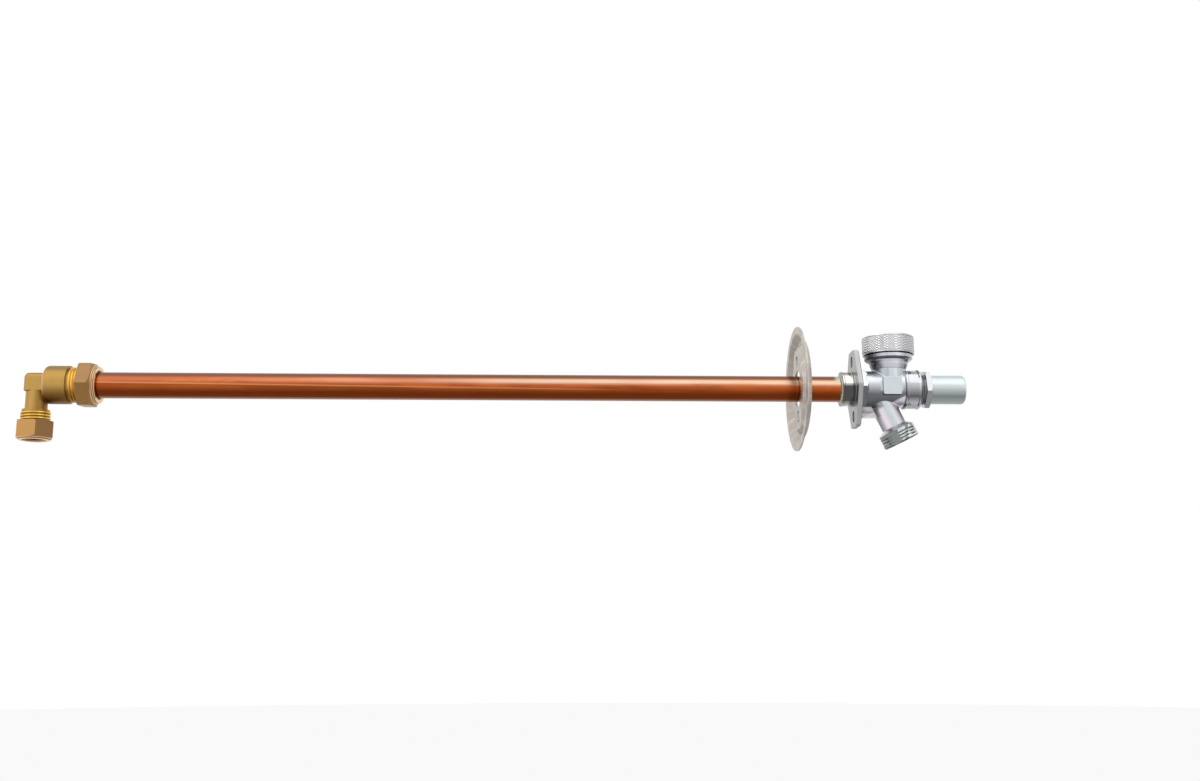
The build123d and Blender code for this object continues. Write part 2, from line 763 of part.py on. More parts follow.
def make_elbow_body():
    """Cast elbow: inlet leg, bend, barrel and the two threaded ends."""
    leg = downward(bar(0, inlet_thread_top + overcut, elbow_leg_d))
    barrel = bar(elbow_barrel_start, elbow_barrel_end, elbow_barrel_d)
    barrel = fillet(barrel.faces().sort_by(Axis.X)[0].edges(), elbow_barrel_round)
    tube_thread = male_thread(elbow_barrel_end, tube_thread_end, tube_thread_d, tube_nut_start)
    inlet_thread = male_thread(inlet_thread_top + overcut, inlet_thread_end, inlet_thread_d,
                               inlet_nut_start)
    elbow = make_elbow_block() + leg + downward(inlet_thread) + barrel + tube_thread
    bore = elbow_leg_d - 2 * elbow_wall
    elbow -= bar(0, tube_thread_end, bore)
    elbow -= downward(bar(-bore / 2, inlet_thread_end, bore))
    elbow -= bar(tube_thread_end - tube_insertion, tube_thread_end + overcut,
                 tube_od + 2 * pipe_gap)
    elbow -= downward(bar(inlet_thread_top + inlet_shoulder, inlet_thread_end + overcut,
                          inlet_pipe_d + 2 * pipe_gap))
    elbow -= cone_seat(tube_thread_end, tube_od)
    elbow -= downward(cone_seat(inlet_thread_end, inlet_pipe_d))
    return Pos(elbow_x, 0, 0) * elbow


def make_olive(face, pipe_d):
    """Olive with two cones, partly inside the socket's mouth."""
    inner = pipe_d / 2 + olive_gap
    outer = pipe_d / 2 + olive_thickness
    start = face - olive_cone
    end = face + olive_length + olive_cone
    return turned(
        (start, inner), (start, inner + olive_edge), (face, outer), (end - olive_cone, outer),
        (end, inner + olive_edge), (end, inner),
    )


def make_nut(start, hex_end, collar, end, flats, turn, collar_d, end_d, thread_d, pipe_d, socket_end):
    """Compression nut: hexagon, then a round end; coned inside for the olive."""
    corner = flats / 2 / cos(pi / 6)
    nut = hex_bar(start, end, flats, turn) & turned(
        (start, 0), (start, corner - nut_chamfer), (start + nut_chamfer, corner),
        (hex_end, corner), (collar, collar_d / 2), (end, end_d / 2), (end, 0),
    )
    pocket = pipe_d / 2 + olive_thickness + pipe_gap
    hole = pipe_d / 2 + nut_pipe_gap
    pocket_end = socket_end + olive_length + pipe_gap
    nut -= bar(start - overcut, socket_end + nut_thread_spare, thread_d + 2 * thread_gap)
    return nut - turned(
        (socket_end, 0), (socket_end, pocket), (pocket_end, pocket),
        (pocket_end + olive_cone, hole), (end - nut_mouth, hole),
        (end + contact_gap, hole + nut_mouth), (end + contact_gap, 0),
    )


def make_tube_nut():
    """Large nut on the supply tube."""
    return Pos(elbow_x, 0, 0) * make_nut(
        tube_nut_start, tube_nut_hex_end, tube_nut_collar, tube_nut_end, tube_nut_flats,
        tube_nut_turn, tube_nut_collar_d, tube_nut_end_d, tube_thread_d, tube_od, tube_thread_end,
    )


def make_inlet_nut():
    """Small nut for the pipe that feeds the tap."""
    return downward(make_nut(
        inlet_nut_start, inlet_nut_hex_end, inlet_nut_collar, inlet_nut_end, inlet_nut_flats,
        inlet_nut_turn, inlet_nut_collar_d, inlet_nut_end_d, inlet_thread_d, inlet_pipe_d,
        inlet_thread_end,
    ), elbow_x)


def pocket_outline(x, grow=0.0):
    """Outline of the plate's pocket at a height above its floor."""
    widened = pocket_gap + pocket_slope * x / pocket_depth + grow
    return Plane.YZ.offset(x) * flange_outline(widened)


def make_wall_plate():
    """Pressed plate that goes between wall and flange, with a pocket for it."""
    radius = plate_od / 2
    step_out = radius - plate_rim_width
    front = pocket_depth - plate_thickness / 2
    back = front - plate_step
    middle = FilletPolyline(
        (front, 0, plate_hole_d / 2), (front, 0, step_out - plate_step_width),
        (back, 0, step_out), (back, 0, radius), radius=plate_bend,
    )
    shell = revolve(Plane.XZ * trace(Plane.XZ.to_local_coords(middle), plate_thickness), Axis.X, 360)
    across = plate_thickness * sqrt(1 + (pocket_slope / pocket_depth) ** 2)
    pocket = loft([pocket_outline(pocket_depth), pocket_outline(0)])
    skin = loft([pocket_outline(front, across), pocket_outline(-plate_thickness, across)])
    plate = shell + skin - pocket
    front_edges = plate.edges().filter_by_position(Axis.X, front, pocket_depth + contact_gap)
    plate = fillet(front_edges.filter_by(lambda edge: edge.length < plate_od), pocket_round)
    plate -= bar(-plate_thickness - overcut, pocket_depth + overcut, plate_hole_d)
    plate -= screw_slots(plate_slot_width, plate_slot_length, -plate_thickness - overcut,
                         pocket_depth + overcut)
    return Pos(-plate_standoff, 0, 0) * plate


def parts():
    """Every sub-part, by its name."""
    return {
        "valve_body": make_valve_body(),
        "supply_tube": make_supply_tube(),
        "solder_fillet": make_solder_fillet(),
        "headwork": make_headwork(),
        "headwork_seal": make_headwork_seal(),
        "spindle": make_spindle(),
        "spindle_seals": make_spindle_seals(),
        "stem_rod": make_stem_rod(),
        "stem_pins": make_stem_pins(),
        "stem_tip": make_stem_tip(),
        "washer_holder": make_washer_holder(),
        "holder_ring": make_holder_ring(),
        "seat_washer": make_seat_washer(),
        "washer_screw": make_washer_screw(),
        "valve_seat": make_valve_seat(),
        "breaker_bonnet": make_breaker_bonnet(),
        "breaker_gasket": make_breaker_gasket(),
        "breaker_float": make_breaker_float(),
        "float_disc": make_float_disc(),
        "breaker_cap": make_breaker_cap(),
        "elbow_body": make_elbow_body(),
        "tube_nut": make_tube_nut(),
        "tube_olive": Pos(elbow_x, 0, 0) * make_olive(tube_thread_end, tube_od),
        "inlet_nut": make_inlet_nut(),
        "inlet_olive": downward(make_olive(inlet_thread_end, inlet_pipe_d), elbow_x),
        "wall_plate": make_wall_plate(),
    }


def write_parts():
    """Write one STEP file for each sub-part."""
    os.makedirs("parts", exist_ok=True)
    for name, shape in parts().items():
        if isinstance(shape, list):
            shape = Compound(children=shape)
        export_step(shape, os.path.join("parts", name + ".step"))
        print(name, round(shape.volume, 1))


write_parts()
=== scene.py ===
import random
from math import atan2, cos, pi, radians, sin

import bmesh
import bpy
from mathutils import Matrix, Vector


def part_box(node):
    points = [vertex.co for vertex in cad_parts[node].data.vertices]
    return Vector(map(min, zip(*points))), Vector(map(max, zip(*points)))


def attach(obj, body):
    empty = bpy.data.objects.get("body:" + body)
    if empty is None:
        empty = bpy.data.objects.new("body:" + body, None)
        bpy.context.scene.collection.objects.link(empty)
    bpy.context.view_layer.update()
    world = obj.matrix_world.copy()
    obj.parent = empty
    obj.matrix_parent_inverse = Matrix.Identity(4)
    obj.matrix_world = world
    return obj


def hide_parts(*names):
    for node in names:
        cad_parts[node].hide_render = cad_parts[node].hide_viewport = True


bl_info = {
    "name": "Frost free sillcock",
    "version": (1, 0, 0),
    "blender": (4, 5, 0),
    "location": "3D View > Sidebar > Sillcock",
    "description": "Finishes and fine pieces for a frost free sillcock with its wall plate",
    "category": "Object",
}

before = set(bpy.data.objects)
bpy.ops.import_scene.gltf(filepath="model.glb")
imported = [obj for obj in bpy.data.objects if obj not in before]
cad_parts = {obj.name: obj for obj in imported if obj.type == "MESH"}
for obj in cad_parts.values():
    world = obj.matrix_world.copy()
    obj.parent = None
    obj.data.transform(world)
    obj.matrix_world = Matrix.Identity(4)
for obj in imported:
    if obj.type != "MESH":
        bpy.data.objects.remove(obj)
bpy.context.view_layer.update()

MM = 0.001
UP = (0, 0, 1)
ALONG = (1, 0, 0)     # along the tube, towards the key end
ACROSS = (0, 1, 0)


# Places read from the CAD nodes, and the parts' own measures

def node_box(node):
    """Lowest and highest corner of a node."""
    low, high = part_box(node)
    return Vector(low), Vector(high)


cap_low, cap_high = node_box("breaker_cap")
branch_x = (cap_low.x + cap_high.x) / 2
cap_radius = (cap_high.x - cap_low.x) / 2
knurl_low = cap_low.z + 0.9 * MM
knurl_high = cap_high.z - 1.5 * MM
inlet_low, inlet_high = node_box("inlet_nut")
leg_x = (inlet_low.x + inlet_high.x) / 2
COLLAR_END = -0.3 * MM        # along the tube, where the collar meets the flange
COLLAR_RINGS = ((-8.3 * MM, -7.7 * MM), (-1.6 * MM, -1.0 * MM))
FLANGE_BACK = -0.2 * MM
FLANGE_FRONT = 3.7 * MM
PAD_ENDS = (18.0 * MM, 34.5 * MM)
BONNET_START = 37.0 * MM
BRANCH_FOOT = 14.4 * MM       # height where the breaker's branch leaves the barrel
NECK_RIM = (20.7 * MM, 22.5 * MM)
NECK_TOP = 24.72 * MM         # height above which the gap under the cap gets painted shade
WEB_TOP = -14.6 * MM          # the gusset below the flange
WEB_FOOT = -20.6 * MM
OUTLET_X = 16.6 * MM          # where the outlet's axis crosses the tube's axis
OUTLET_TILT = radians(25.8)   # from straight down, towards the key end
OUTLET_AXIS = Vector((sin(OUTLET_TILT), 0.0, -cos(OUTLET_TILT)))
OUTLET_SIDE = Vector((cos(OUTLET_TILT), 0.0, sin(OUTLET_TILT)))
OUTLET_ROOT = 14.6 * MM       # along the outlet's axis, as the next three
THREAD_SHADE_START = 33.2 * MM
HOSE_START = 33.8 * MM
HOSE_END = 42.8 * MM
THREAD_SHADE_BACK = 20.0 * MM     # along the tube
HOSE_RADIUS = 13.6 * MM
HOSE_BORE = 12.0 * MM         # inside of the ring that carries the hose thread
HOSE_FLAT_CUT = 0.56 * MM
HOSE_FLAT_TURN = radians(30.0)
HEXAGON_START = 52.2 * MM     # the headwork's hexagon
HEXAGON_END = 56.5 * MM
ELBOW_LEG_TOP = -5.4 * MM
ELBOW_RIM_START = 6.2 * MM    # along the tube from the leg's axis, as the next three
ELBOW_RIM_END = 8.2 * MM
TUBE_NUT_RINGS = (42.0 * MM, 43.2 * MM)
TUBE_NUT_RIM = 44.5 * MM
INLET_NUT_RING = 39.4 * MM    # below the tube's axis, as the next one
INLET_NUT_RIM = 40.7 * MM
RIDGE_SINK = 0.04 * MM        # how deep a thread's ridge sits in its core

TUBE_MIDDLE = Vector((-0.25, 0, 0))
MIRRORED_RAYS = ("Is Glossy Ray", "Is Transmission Ray")
FLOOR_Z = -0.60
FLOOR_RADIUS = 9.0
FLOOR_WHITENESS = 0.8
WORLD_STRENGTH = 0.80
CAMERA_PLACE = (-0.2219, -0.9892, -0.1853)
CAMERA_YAW = 2.0
CAMERA_RISE = 10.5
CAMERA_ROLL = -0.05
LAMPS = (
    ("top_lamp", (-0.3, -0.7, 1.7), (3.2, 2.4), 10.0),
    ("left_lamp", (-1.9, -1.4, 0.5), (1.8, 1.8), 3.0),
    ("right_lamp", (1.7, -1.5, 0.4), (1.8, 1.8), 3.0),
)


# Shader building

def tone(*levels):
    """Linear colour of a shade given as 0 to 255 on a screen."""
    shares = [min(level, 255.0) / 255.0 for level in levels]
    return tuple(share / 12.92 if share < 0.04045 else ((share + 0.055) / 1.055) ** 2.4
                 for share in shares)


class Value:
    """A number that varies over a surface; sums and products add Math nodes."""

    def __init__(self, finish, socket):
        self.finish = finish
        self.socket = socket

    def combine(self, operation, first, second=0.0):
        """One Math node on two values or numbers."""
        return self.finish.node("ShaderNodeMath", {"operation": operation}, {0: first, 1: second})

    def __add__(self, other):
        return self.combine("ADD", self, other)

    def __radd__(self, other):
        return self.combine("ADD", other, self)

    def __sub__(self, other):
        return self.combine("SUBTRACT", self, other)

    def __rsub__(self, other):
        return self.combine("SUBTRACT", other, self)

    def __mul__(self, other):
        return self.combine("MULTIPLY", self, other)

    def __rmul__(self, other):
        return self.combine("MULTIPLY", other, self)

    def above(self, edge, softness):
        """0 below the edge, 1 above it, with a soft step between."""
        settings = {"interpolation_type": "SMOOTHSTEP"}
        inputs = {"Value": self, "From Min": edge - softness, "From Max": edge + softness}
        return self.finish.node("ShaderNodeMapRange", settings, inputs)

    def between(self, low, high, softness):
        """1 from low to high, 0 outside."""
        return self.above(low, softness) * (1.0 - self.above(high, softness))

    def most(self, other):
        """The larger of two values."""
        return self.combine("MAXIMUM", self, other)

    def root(self):
        """The square root."""
        return self.combine("SQRT", self)

    def angle(self, across):
        """The angle of a point that is this far up and that far across."""
        return self.combine("ARCTAN2", self, across)


class Finish:
    """One material while it is built: its node tree and one way to add nodes."""

    def __init__(self, name):
        self.material = bpy.data.materials.new(name)
        self.material.use_nodes = True
        self.tree = self.material.node_tree
        self.tree.nodes.clear()

    def node(self, kind, settings=None, inputs=None, output=0):
        """Add a node, set its settings, then fill or link its sockets."""
        node = self.tree.nodes.new(kind)
        for name, value in (settings or {}).items():
            if name == "stops":
                self.fill_ramp(node.color_ramp, value)
            else:
                setattr(node, name, value)
        for name, value in (inputs or {}).items():
            if isinstance(value, Value):
                self.tree.links.new(value.socket, node.inputs[name])
            else:
                node.inputs[name].default_value = value
        return Value(self, node.outputs[output])

    @staticmethod
    def fill_ramp(ramp, stops):
        """Give a colour ramp its stops."""
        while len(ramp.elements) < len(stops):
            ramp.elements.new(0.5)
        for element, (place, colour) in zip(ramp.elements, stops):
            element.position = place
            element.color = (*colour, 1.0)

    def mix(self, factor, first, second):
        """Mix two colours."""
        inputs = {0: factor, 6: self.colour(first), 7: self.colour(second)}
        return self.node("ShaderNodeMix", {"data_type": "RGBA"}, inputs, output=2)

    def darken(self, colour, factor):
        """Multiply a colour by a grey factor between 0 and 1."""
        return self.mix(factor, (0.0, 0.0, 0.0), colour)

    @staticmethod
    def colour(value):
        """A colour as a link, or as four numbers."""
        return value if isinstance(value, Value) else (*value[:3], 1.0)

    def place(self):
        """Object coordinates as one vector."""
        return self.node("ShaderNodeTexCoord", output=3)

    def axes(self, place):
        """The three numbers of a vector."""
        split = self.tree.nodes.new("ShaderNodeSeparateXYZ")
        self.tree.links.new(place.socket, split.inputs[0])
        return [Value(self, socket) for socket in split.outputs]

    def along(self, vector, direction):
        """How far a vector reaches in a direction."""
        return self.node("ShaderNodeVectorMath", {"operation": "DOT_PRODUCT"},
                         {0: vector, 1: tuple(direction)}, output=1)

    def towards(self, direction):
        """How far the surface faces a direction, from -1 to 1."""
        return self.along(self.node("ShaderNodeNewGeometry", output=1), direction)

    def bands(self, turn, shades, tint=(1.0, 1.0, 1.0)):
        """Tinted greys over a value from -1 to 1, blended from each stop to the next."""
        stops = [((place + 1.0) / 2.0, tone(*[grey * share for share in tint]))
                 for place, grey in shades]
        return self.node("ShaderNodeValToRGB", {"stops": stops}, {0: 0.5 * turn + 0.5})

    def scaled(self, place, scale):
        """Scale a vector, to draw a texture out or press it together."""
        return self.node("ShaderNodeMapping", {}, {"Vector": place, "Scale": scale})

    def noise(self, place, scale, detail=3.0, roughness=0.5, distortion=0.0):
        """Soft noise between 0 and 1."""
        inputs = {
            "Vector": place, "Scale": scale, "Detail": detail, "Roughness": roughness,
            "Distortion": distortion,
        }
        return self.node("ShaderNodeTexNoise", {}, inputs)

    def bump(self, height, depth, strength=1.0):
        """Surface normal from a height in metres."""
        return self.node("ShaderNodeBump", {}, {
            "Height": height, "Distance": depth, "Strength": strength,
        })

    def done(self, colour, roughness, metallic, normal=None):
        """Close the material with its shader."""
        shader = self.tree.nodes.new("ShaderNodeBsdfPrincipled")
        output = self.tree.nodes.new("ShaderNodeOutputMaterial")
        self.tree.links.new(shader.outputs[0], output.inputs[0])
        values = {
            "Base Color": self.colour(colour), "Roughness": roughness, "Metallic": metallic,
        }
        if normal is not None:
            values["Normal"] = normal
        for name, value in values.items():
            if isinstance(value, Value):
                self.tree.links.new(value.socket, shader.inputs[name])
            else:
                shader.inputs[name].default_value = value
        return self.material


# Finishes

# Soft bands of painted reflection and shade on plated metal, as places from -1 to 1 and the grey
# at each
BARREL_SHADES = ((-1.0, 90), (-0.4, 110), (0.0, 190), (0.6, 250), (1.0, 170))
COLLAR_SHADES = (
    (-1.0, 190), (-0.8, 80), (0.0, 80), (0.25, 240), (0.6, 240), (0.8, 130), (1.0, 190),
)
BONNET_SHADES = (
    (-1.0, 150), (-0.8, 180), (-0.5, 90), (0.2, 210), (0.6, 220), (0.75, 150), (1.0, 200),
)
NOSE_SHADES = ((-1.0, 160), (-0.6, 120), (0.0, 210), (0.4, 230), (0.8, 200), (1.0, 230))
BRANCH_SHADES = ((-1.0, 160), (-0.8, 120), (-0.4, 200), (0.2, 210), (0.5, 170), (0.9, 200))
OUTLET_SHADES = ((-1.0, 130), (-0.7, 240), (-0.2, 210), (0.7, 200), (0.9, 120))
CAP_SHADES = ((-1.0, 220), (-0.6, 255), (-0.3, 220), (0.1, 220), (0.4, 180), (1.0, 190))
THREAD_SHADES = ((-1.0, 220), (-0.4, 180), (0.3, 90), (1.0, 60))
FLANGE_SHADES = ((-1.0, 110), (-0.6, 160), (0.3, 170), (1.0, 220))
HEXAGON_SHADES = ((-1.0, 170), (-0.6, 120), (0.0, 210), (0.5, 220), (1.0, 180))
# the web's bands follow a random mottle, not the way it faces
WEB_SHADES = ((-0.4, 120), (0.0, 180), (0.4, 210))


def copper_finish(colours):
    """Drawn copper: streaks, red tarnish, scratches and tin by the collar; a painted sheen, a
    painted reflection line, painted shade underneath and along the top, and a paler painted
    reflection where it faces straight up or down.
    """
    finish = Finish("copper")
    place = finish.place()
    up = finish.towards(UP)
    long_streaks = finish.noise(finish.scaled(place, (7, 240, 240)), 1.0, 5.0, 0.6)
    patches = finish.noise(finish.scaled(place, (20, 90, 90)), 1.0, 4.0, 0.65, 0.4)
    scratches = finish.noise(finish.scaled(place, (40, 2600, 2600)), 1.0, 2.0, 0.5)
    sway = up + 0.10 * (patches - 0.5)
    # painted shade on the underside, where the tube faces down
    painted_underside_shade = 1.0 - sway.above(-0.30, 0.36)
    colour = finish.mix(patches.above(0.50, 0.14) * 0.7, colours.copper, colours.copper_tarnish)
    colour = finish.mix(long_streaks.above(0.56, 0.10) * 0.40, colour, tone(120, 58, 26))
    # painted sheen: a pale painted highlight in streaks along the upper side, fading towards the
    # elbow
    sheen = up.between(0.12, 0.56, 0.16) * long_streaks.above(0.32, 0.16)
    length = finish.noise(finish.scaled(place, (5, 0.1, 0.1)), 1.0, 2.0, 0.5)
    along, _, _ = finish.axes(place)
    sheen = sheen * length.above(0.40, 0.12) * (0.12 + 0.88 * along.above(-0.32, 0.17))
    colour = finish.mix(sheen * 0.80, colour, tone(226, 200, 174))
    # painted reflection: a thin bright line along the tube
    sinking = up + along + 0.48     # 0 on a line that sinks as it nears the valve
    painted_reflection_line = sinking.between(-0.05, 0.05, 0.04) * (1.0 - along.above(-0.19, 0.04))
    colour = finish.mix(painted_reflection_line * 0.55, colour, tone(240, 168, 116))
    colour = finish.mix(painted_underside_shade * 0.92, colour, colours.painted_copper_shade)
    # painted shade along the top
    colour = finish.mix(up.above(0.56, 0.12) * 0.9, colour, tone(112, 76, 60))
    tinned = along.above(-14.0 * MM, 1.6 * MM) * (up + 0.8 * (patches - 0.5)).above(0.25, 0.2)
    colour = finish.mix(tinned * 0.85, colour, tone(190, 188, 172))
    # painted reflection: paler where the tube faces straight up or straight down
    pale = (1.0 - up.above(-0.94, 0.05)).most(up.above(0.96, 0.04))
    colour = finish.mix(pale * 0.5, colour, tone(170, 124, 98))
    roughness = 0.13 + 0.10 * patches + 0.06 * scratches
    return finish.done(colour, roughness, 1.0, finish.bump(scratches, 0.00003, 0.5))


def cast_brass_finish(colours):
    """Sand cast brass: fine grain, with painted shade where it faces down, on top and on the leg's
    side towards the key end, and a painted highlight on the barrel's edge by the bend.
    """
    finish = Finish("cast_brass")
    place = finish.place()
    up = finish.towards(UP)
    grain = finish.noise(place, 2600.0, 3.0, 0.6)
    cloud = finish.noise(place, 140.0, 3.0, 0.5)
    # painted shade where it faces down
    painted_underside_shade = 1.0 - up.above(-0.40, 0.30)
    # painted shade on the top
    top = up.above(0.62, 0.20)
    along, _, height = finish.axes(place)
    side = finish.towards(ALONG)
    leg = 1.0 - height.above(ELBOW_LEG_TOP, 0.2 * MM)
    leg = leg * (1.0 - along.above(leg_x + ELBOW_RIM_END, 0.3 * MM))
    # painted highlight on the barrel's edge by the bend, where it faces away from the key end
    rim = along.between(leg_x + ELBOW_RIM_START, leg_x + ELBOW_RIM_END, 0.4 * MM)
    rim = rim * (1.0 - side.above(-0.35, 0.20))
    colour = finish.mix(cloud * 0.5, colours.cast_brass, tone(178, 136, 74))
    # painted shade on the leg's side towards the key end
    colour = finish.mix(leg * side.above(0.25, 0.30) * 0.7, colour, tone(132, 98, 46))
    colour = finish.mix(rim * 0.6, colour, tone(242, 212, 172))
    colour = finish.mix(top * 0.75, colour, tone(126, 106, 68))
    colour = finish.mix(painted_underside_shade * 0.85, colour, tone(98, 66, 24))
    roughness = 0.34 + 0.14 * grain
    return finish.done(colour, roughness, 1.0, finish.bump(grain, 0.00008, 0.6))


def nut_brass_finish(colours, name, axis, rings, last):
    """Forged nut brass with painted shade underneath; an upright nut also gets painted shade on
    its side towards the key end and painted light on the other; the turned end has painted
    highlights on its edges and painted shade in its grooves round the axis.
    """
    finish = Finish(name)
    place = finish.place()
    up = finish.towards(UP)
    depth = finish.along(place, axis)
    cloud = finish.noise(place, 160.0, 3.0, 0.5)
    brushed = finish.noise(finish.scaled(place, (300, 4200, 4200)), 1.0, 2.0, 0.5)
    # painted shade where it faces down
    painted_underside_shade = 1.0 - up.above(-0.35, 0.30)
    colour = finish.mix(cloud * 0.7, colours.nut_brass, tone(160, 118, 76))
    colour = finish.mix(painted_underside_shade * 0.6, colour, tone(124, 84, 34))
    # painted shade on the side towards the key end and painted light on the other side, only on a
    # nut whose axis is upright
    side = finish.towards(ALONG)
    upright = 1.0 - abs(axis[0])
    shaded = side.above(0.05, 0.15) * upright
    colour = finish.mix(shaded * 0.7, colour, tone(134, 98, 64))
    lit = upright * (1.0 - side.above(-0.1, 0.2))
    colour = finish.mix(lit * 0.6, colour, tone(214, 160, 84))
    # painted highlights on the end's edges and painted shade in the grooves behind them
    bright = depth.between(last - 0.35 * MM, last + 1.0 * MM, 0.1 * MM)
    dark = depth.between(last - 0.9 * MM, last - 0.45 * MM, 0.12 * MM)
    for ring in rings:
        bright = bright.most(depth.between(ring - 0.16 * MM, ring + 0.16 * MM, 0.08 * MM))
        dark = dark.most(depth.between(ring + 0.3 * MM, ring + 0.6 * MM, 0.12 * MM))
    colour = finish.mix(dark * 0.5, colour, tone(112, 74, 42))
    colour = finish.mix(bright * 0.75, colour, tone(246, 216, 176))
    roughness = 0.24 + 0.10 * cloud + 0.05 * brushed
    return finish.done(colour, roughness, 1.0, finish.bump(brushed, 0.00003, 0.4))


def turned_brass_finish(colours):
    """Bright machined brass, with painted shade where it faces down and lighter painted shade
    where it faces up.
    """
    finish = Finish("turned_brass")
    place = finish.place()
    up = finish.towards(UP)
    cloud = finish.noise(place, 300.0, 2.0, 0.5)
    lines = finish.noise(finish.scaled(place, (6000, 60, 60)), 1.0, 2.0, 0.5)
    colour = finish.mix(cloud * 0.6, colours.turned_brass, tone(214, 160, 60))
    # painted shade where it faces down, and lighter painted shade where it faces up
    colour = finish.mix((1.0 - up.above(-0.35, 0.25)) * 0.8, colour, tone(112, 74, 16))
    colour = finish.mix(up.above(0.55, 0.15) * 0.5, colour, tone(150, 118, 48))
    roughness = 0.16 + 0.12 * cloud
    return finish.done(colour, roughness, 1.0, finish.bump(lines, 0.00002, 0.4))


def neck_colours(finish, colour, height, up, sway):
    """Lay the breaker neck's bands of painted reflection and shade over a colour, with painted
    shade under its rim and in the gap under the cap.
    """
    branch = height.above(BRANCH_FOOT, 0.8 * MM)
    tinted = finish.bands(finish.towards(ALONG) + sway, BRANCH_SHADES, (0.985, 0.99, 1.03))
    colour = finish.mix(branch, colour, tinted)
    # painted shade under the rim and in the gap under the cap
    under_rim = height.between(*NECK_RIM, 0.3 * MM) * (1.0 - up.above(-0.35, 0.15))
    colour = finish.mix(under_rim * 0.9, colour, tone(72, 73, 80))
    return finish.mix(height.above(NECK_TOP, 0.03 * MM) * 0.9, colour, tone(40, 40, 44))


def outlet_colours(finish, colour, outlet, thread, sway):
    """Lay the outlet's bands of painted reflection and shade over a colour, with darker bands over
    the hose thread.
    """
    bright = finish.bands(finish.towards(OUTLET_SIDE), OUTLET_SHADES, (1.0, 0.98, 1.01))
    colour = finish.mix(outlet, colour, bright)
    flank = finish.towards(OUTLET_AXIS)
    dark = finish.bands(flank + 0.5 * sway, THREAD_SHADES, (0.97, 1.01, 1.0))
    return finish.mix(thread, colour, dark)


def collar_colours(finish, colour, collar, along, up, waver):
    """Lay the polished collar's bands of painted reflection and shade over a colour, with its two
    dark rings.
    """
    bands = finish.bands(up + 5.0 * waver, COLLAR_SHADES, (1.0, 0.995, 0.975))
    colour = finish.mix(collar, colour, bands)
    rear_ring, front_ring = [along.between(*ends, 0.1 * MM) for ends in COLLAR_RINGS]
    return finish.mix(rear_ring.most(front_ring) * collar * 0.7, colour, tone(96, 92, 86))


def valve_finish():
    """Satin plated casting, with polished collar and bonnet, coloured in bands of painted
    reflection and shade, darker over the hose thread.
    """
    finish = Finish("plated_casting")
    place = finish.place()
    along, _, height = finish.axes(place)
    up = finish.towards(UP)
    grain = finish.noise(place, 1800.0, 3.0, 0.6)
    cloud = finish.noise(place, 130.0, 3.0, 0.5)
    ripple = finish.noise(finish.scaled(place, (60, 220, 220)), 1.0, 3.0, 0.5)
    sway = 0.06 * (cloud - 0.5)
    waver = 0.04 * (ripple - 0.5)
    collar = 1.0 - along.above(COLLAR_END, 0.2 * MM)
    bonnet = along.above(BONNET_START, 0.2 * MM)
    reach = finish.along(place, OUTLET_AXIS) - OUTLET_X * OUTLET_AXIS.x
    outlet = reach.above(OUTLET_ROOT, 0.8 * MM) * along.above(FLANGE_FRONT + 0.8 * MM, 0.5 * MM)
    thread = reach.above(THREAD_SHADE_START, 0.4 * MM) * along.above(THREAD_SHADE_BACK, 0.5 * MM)
    flange = along.between(FLANGE_BACK, FLANGE_FRONT, 0.1 * MM)
    pad = (1.0 - finish.towards(ACROSS).above(-0.97, 0.015)) * along.between(*PAD_ENDS, 0.4 * MM)
    web = (1.0 - height.above(WEB_TOP, 0.3 * MM)) * (1.0 - outlet)
    web_edge = web * (1.0 - height.above(WEB_FOOT, 0.3 * MM))

    # painted reflection and shade: bands of grey over the way the surface faces
    colour = finish.bands(up + sway, BARREL_SHADES, (0.975, 0.995, 1.02))
    colour = neck_colours(finish, colour, height, up, sway)
    colour = outlet_colours(finish, colour, outlet, thread, sway)
    colour = finish.mix(pad, colour, tone(208, 215, 219))
    colour = finish.mix(web, colour, finish.bands(2.0 * ripple - 1.0, WEB_SHADES))
    colour = finish.mix(web_edge * 0.7, colour, tone(112, 110, 108))
    colour = finish.mix(flange, colour, finish.bands(up + 0.5 * sway, FLANGE_SHADES))
    colour = collar_colours(finish, colour, collar, along, up, waver)
    colour = finish.mix(bonnet, colour, finish.bands(up + waver, BONNET_SHADES, (0.99, 1.0, 1.02)))
    colour = finish.darken(colour, 0.90 + 0.14 * cloud)

    polished = collar.most(bonnet)
    roughness = (0.30 + 0.10 * grain) * (1.0 - polished) + 0.10 * polished
    normal = finish.bump(grain * (1.0 - polished), 0.00006, 0.6)
    return finish.done(colour, roughness, 1.0, normal)


def headwork_finish():
    """Satin key shroud and polished hexagon in bands of painted reflection and shade, with painted
    shade over the thread roots behind the hexagon.
    """
    finish = Finish("satin_headwork")
    place = finish.place()
    along, _, _ = finish.axes(place)
    up = finish.towards(UP)
    cloud = finish.noise(place, 150.0, 3.0, 0.5)
    lines = finish.noise(finish.scaled(place, (4200, 40, 40)), 1.0, 2.0, 0.5)
    colour = finish.bands(up + 0.05 * (cloud - 0.5), NOSE_SHADES, (0.965, 1.0, 1.005))
    thread = 1.0 - along.above(HEXAGON_START, 0.1 * MM)
    hexagon = along.between(HEXAGON_START, HEXAGON_END, 0.1 * MM)
    colour = finish.mix(hexagon, colour, finish.bands(up, HEXAGON_SHADES))
    # painted shade over the thread behind the hexagon
    colour = finish.mix(thread * 0.8, colour, tone(96, 96, 98))
    colour = finish.mix(cloud * 0.2, colour, tone(176, 184, 186))
    roughness = 0.24 + 0.08 * cloud + 0.05 * lines
    return finish.done(colour, roughness, 1.0, finish.bump(lines, 0.00002, 0.3))


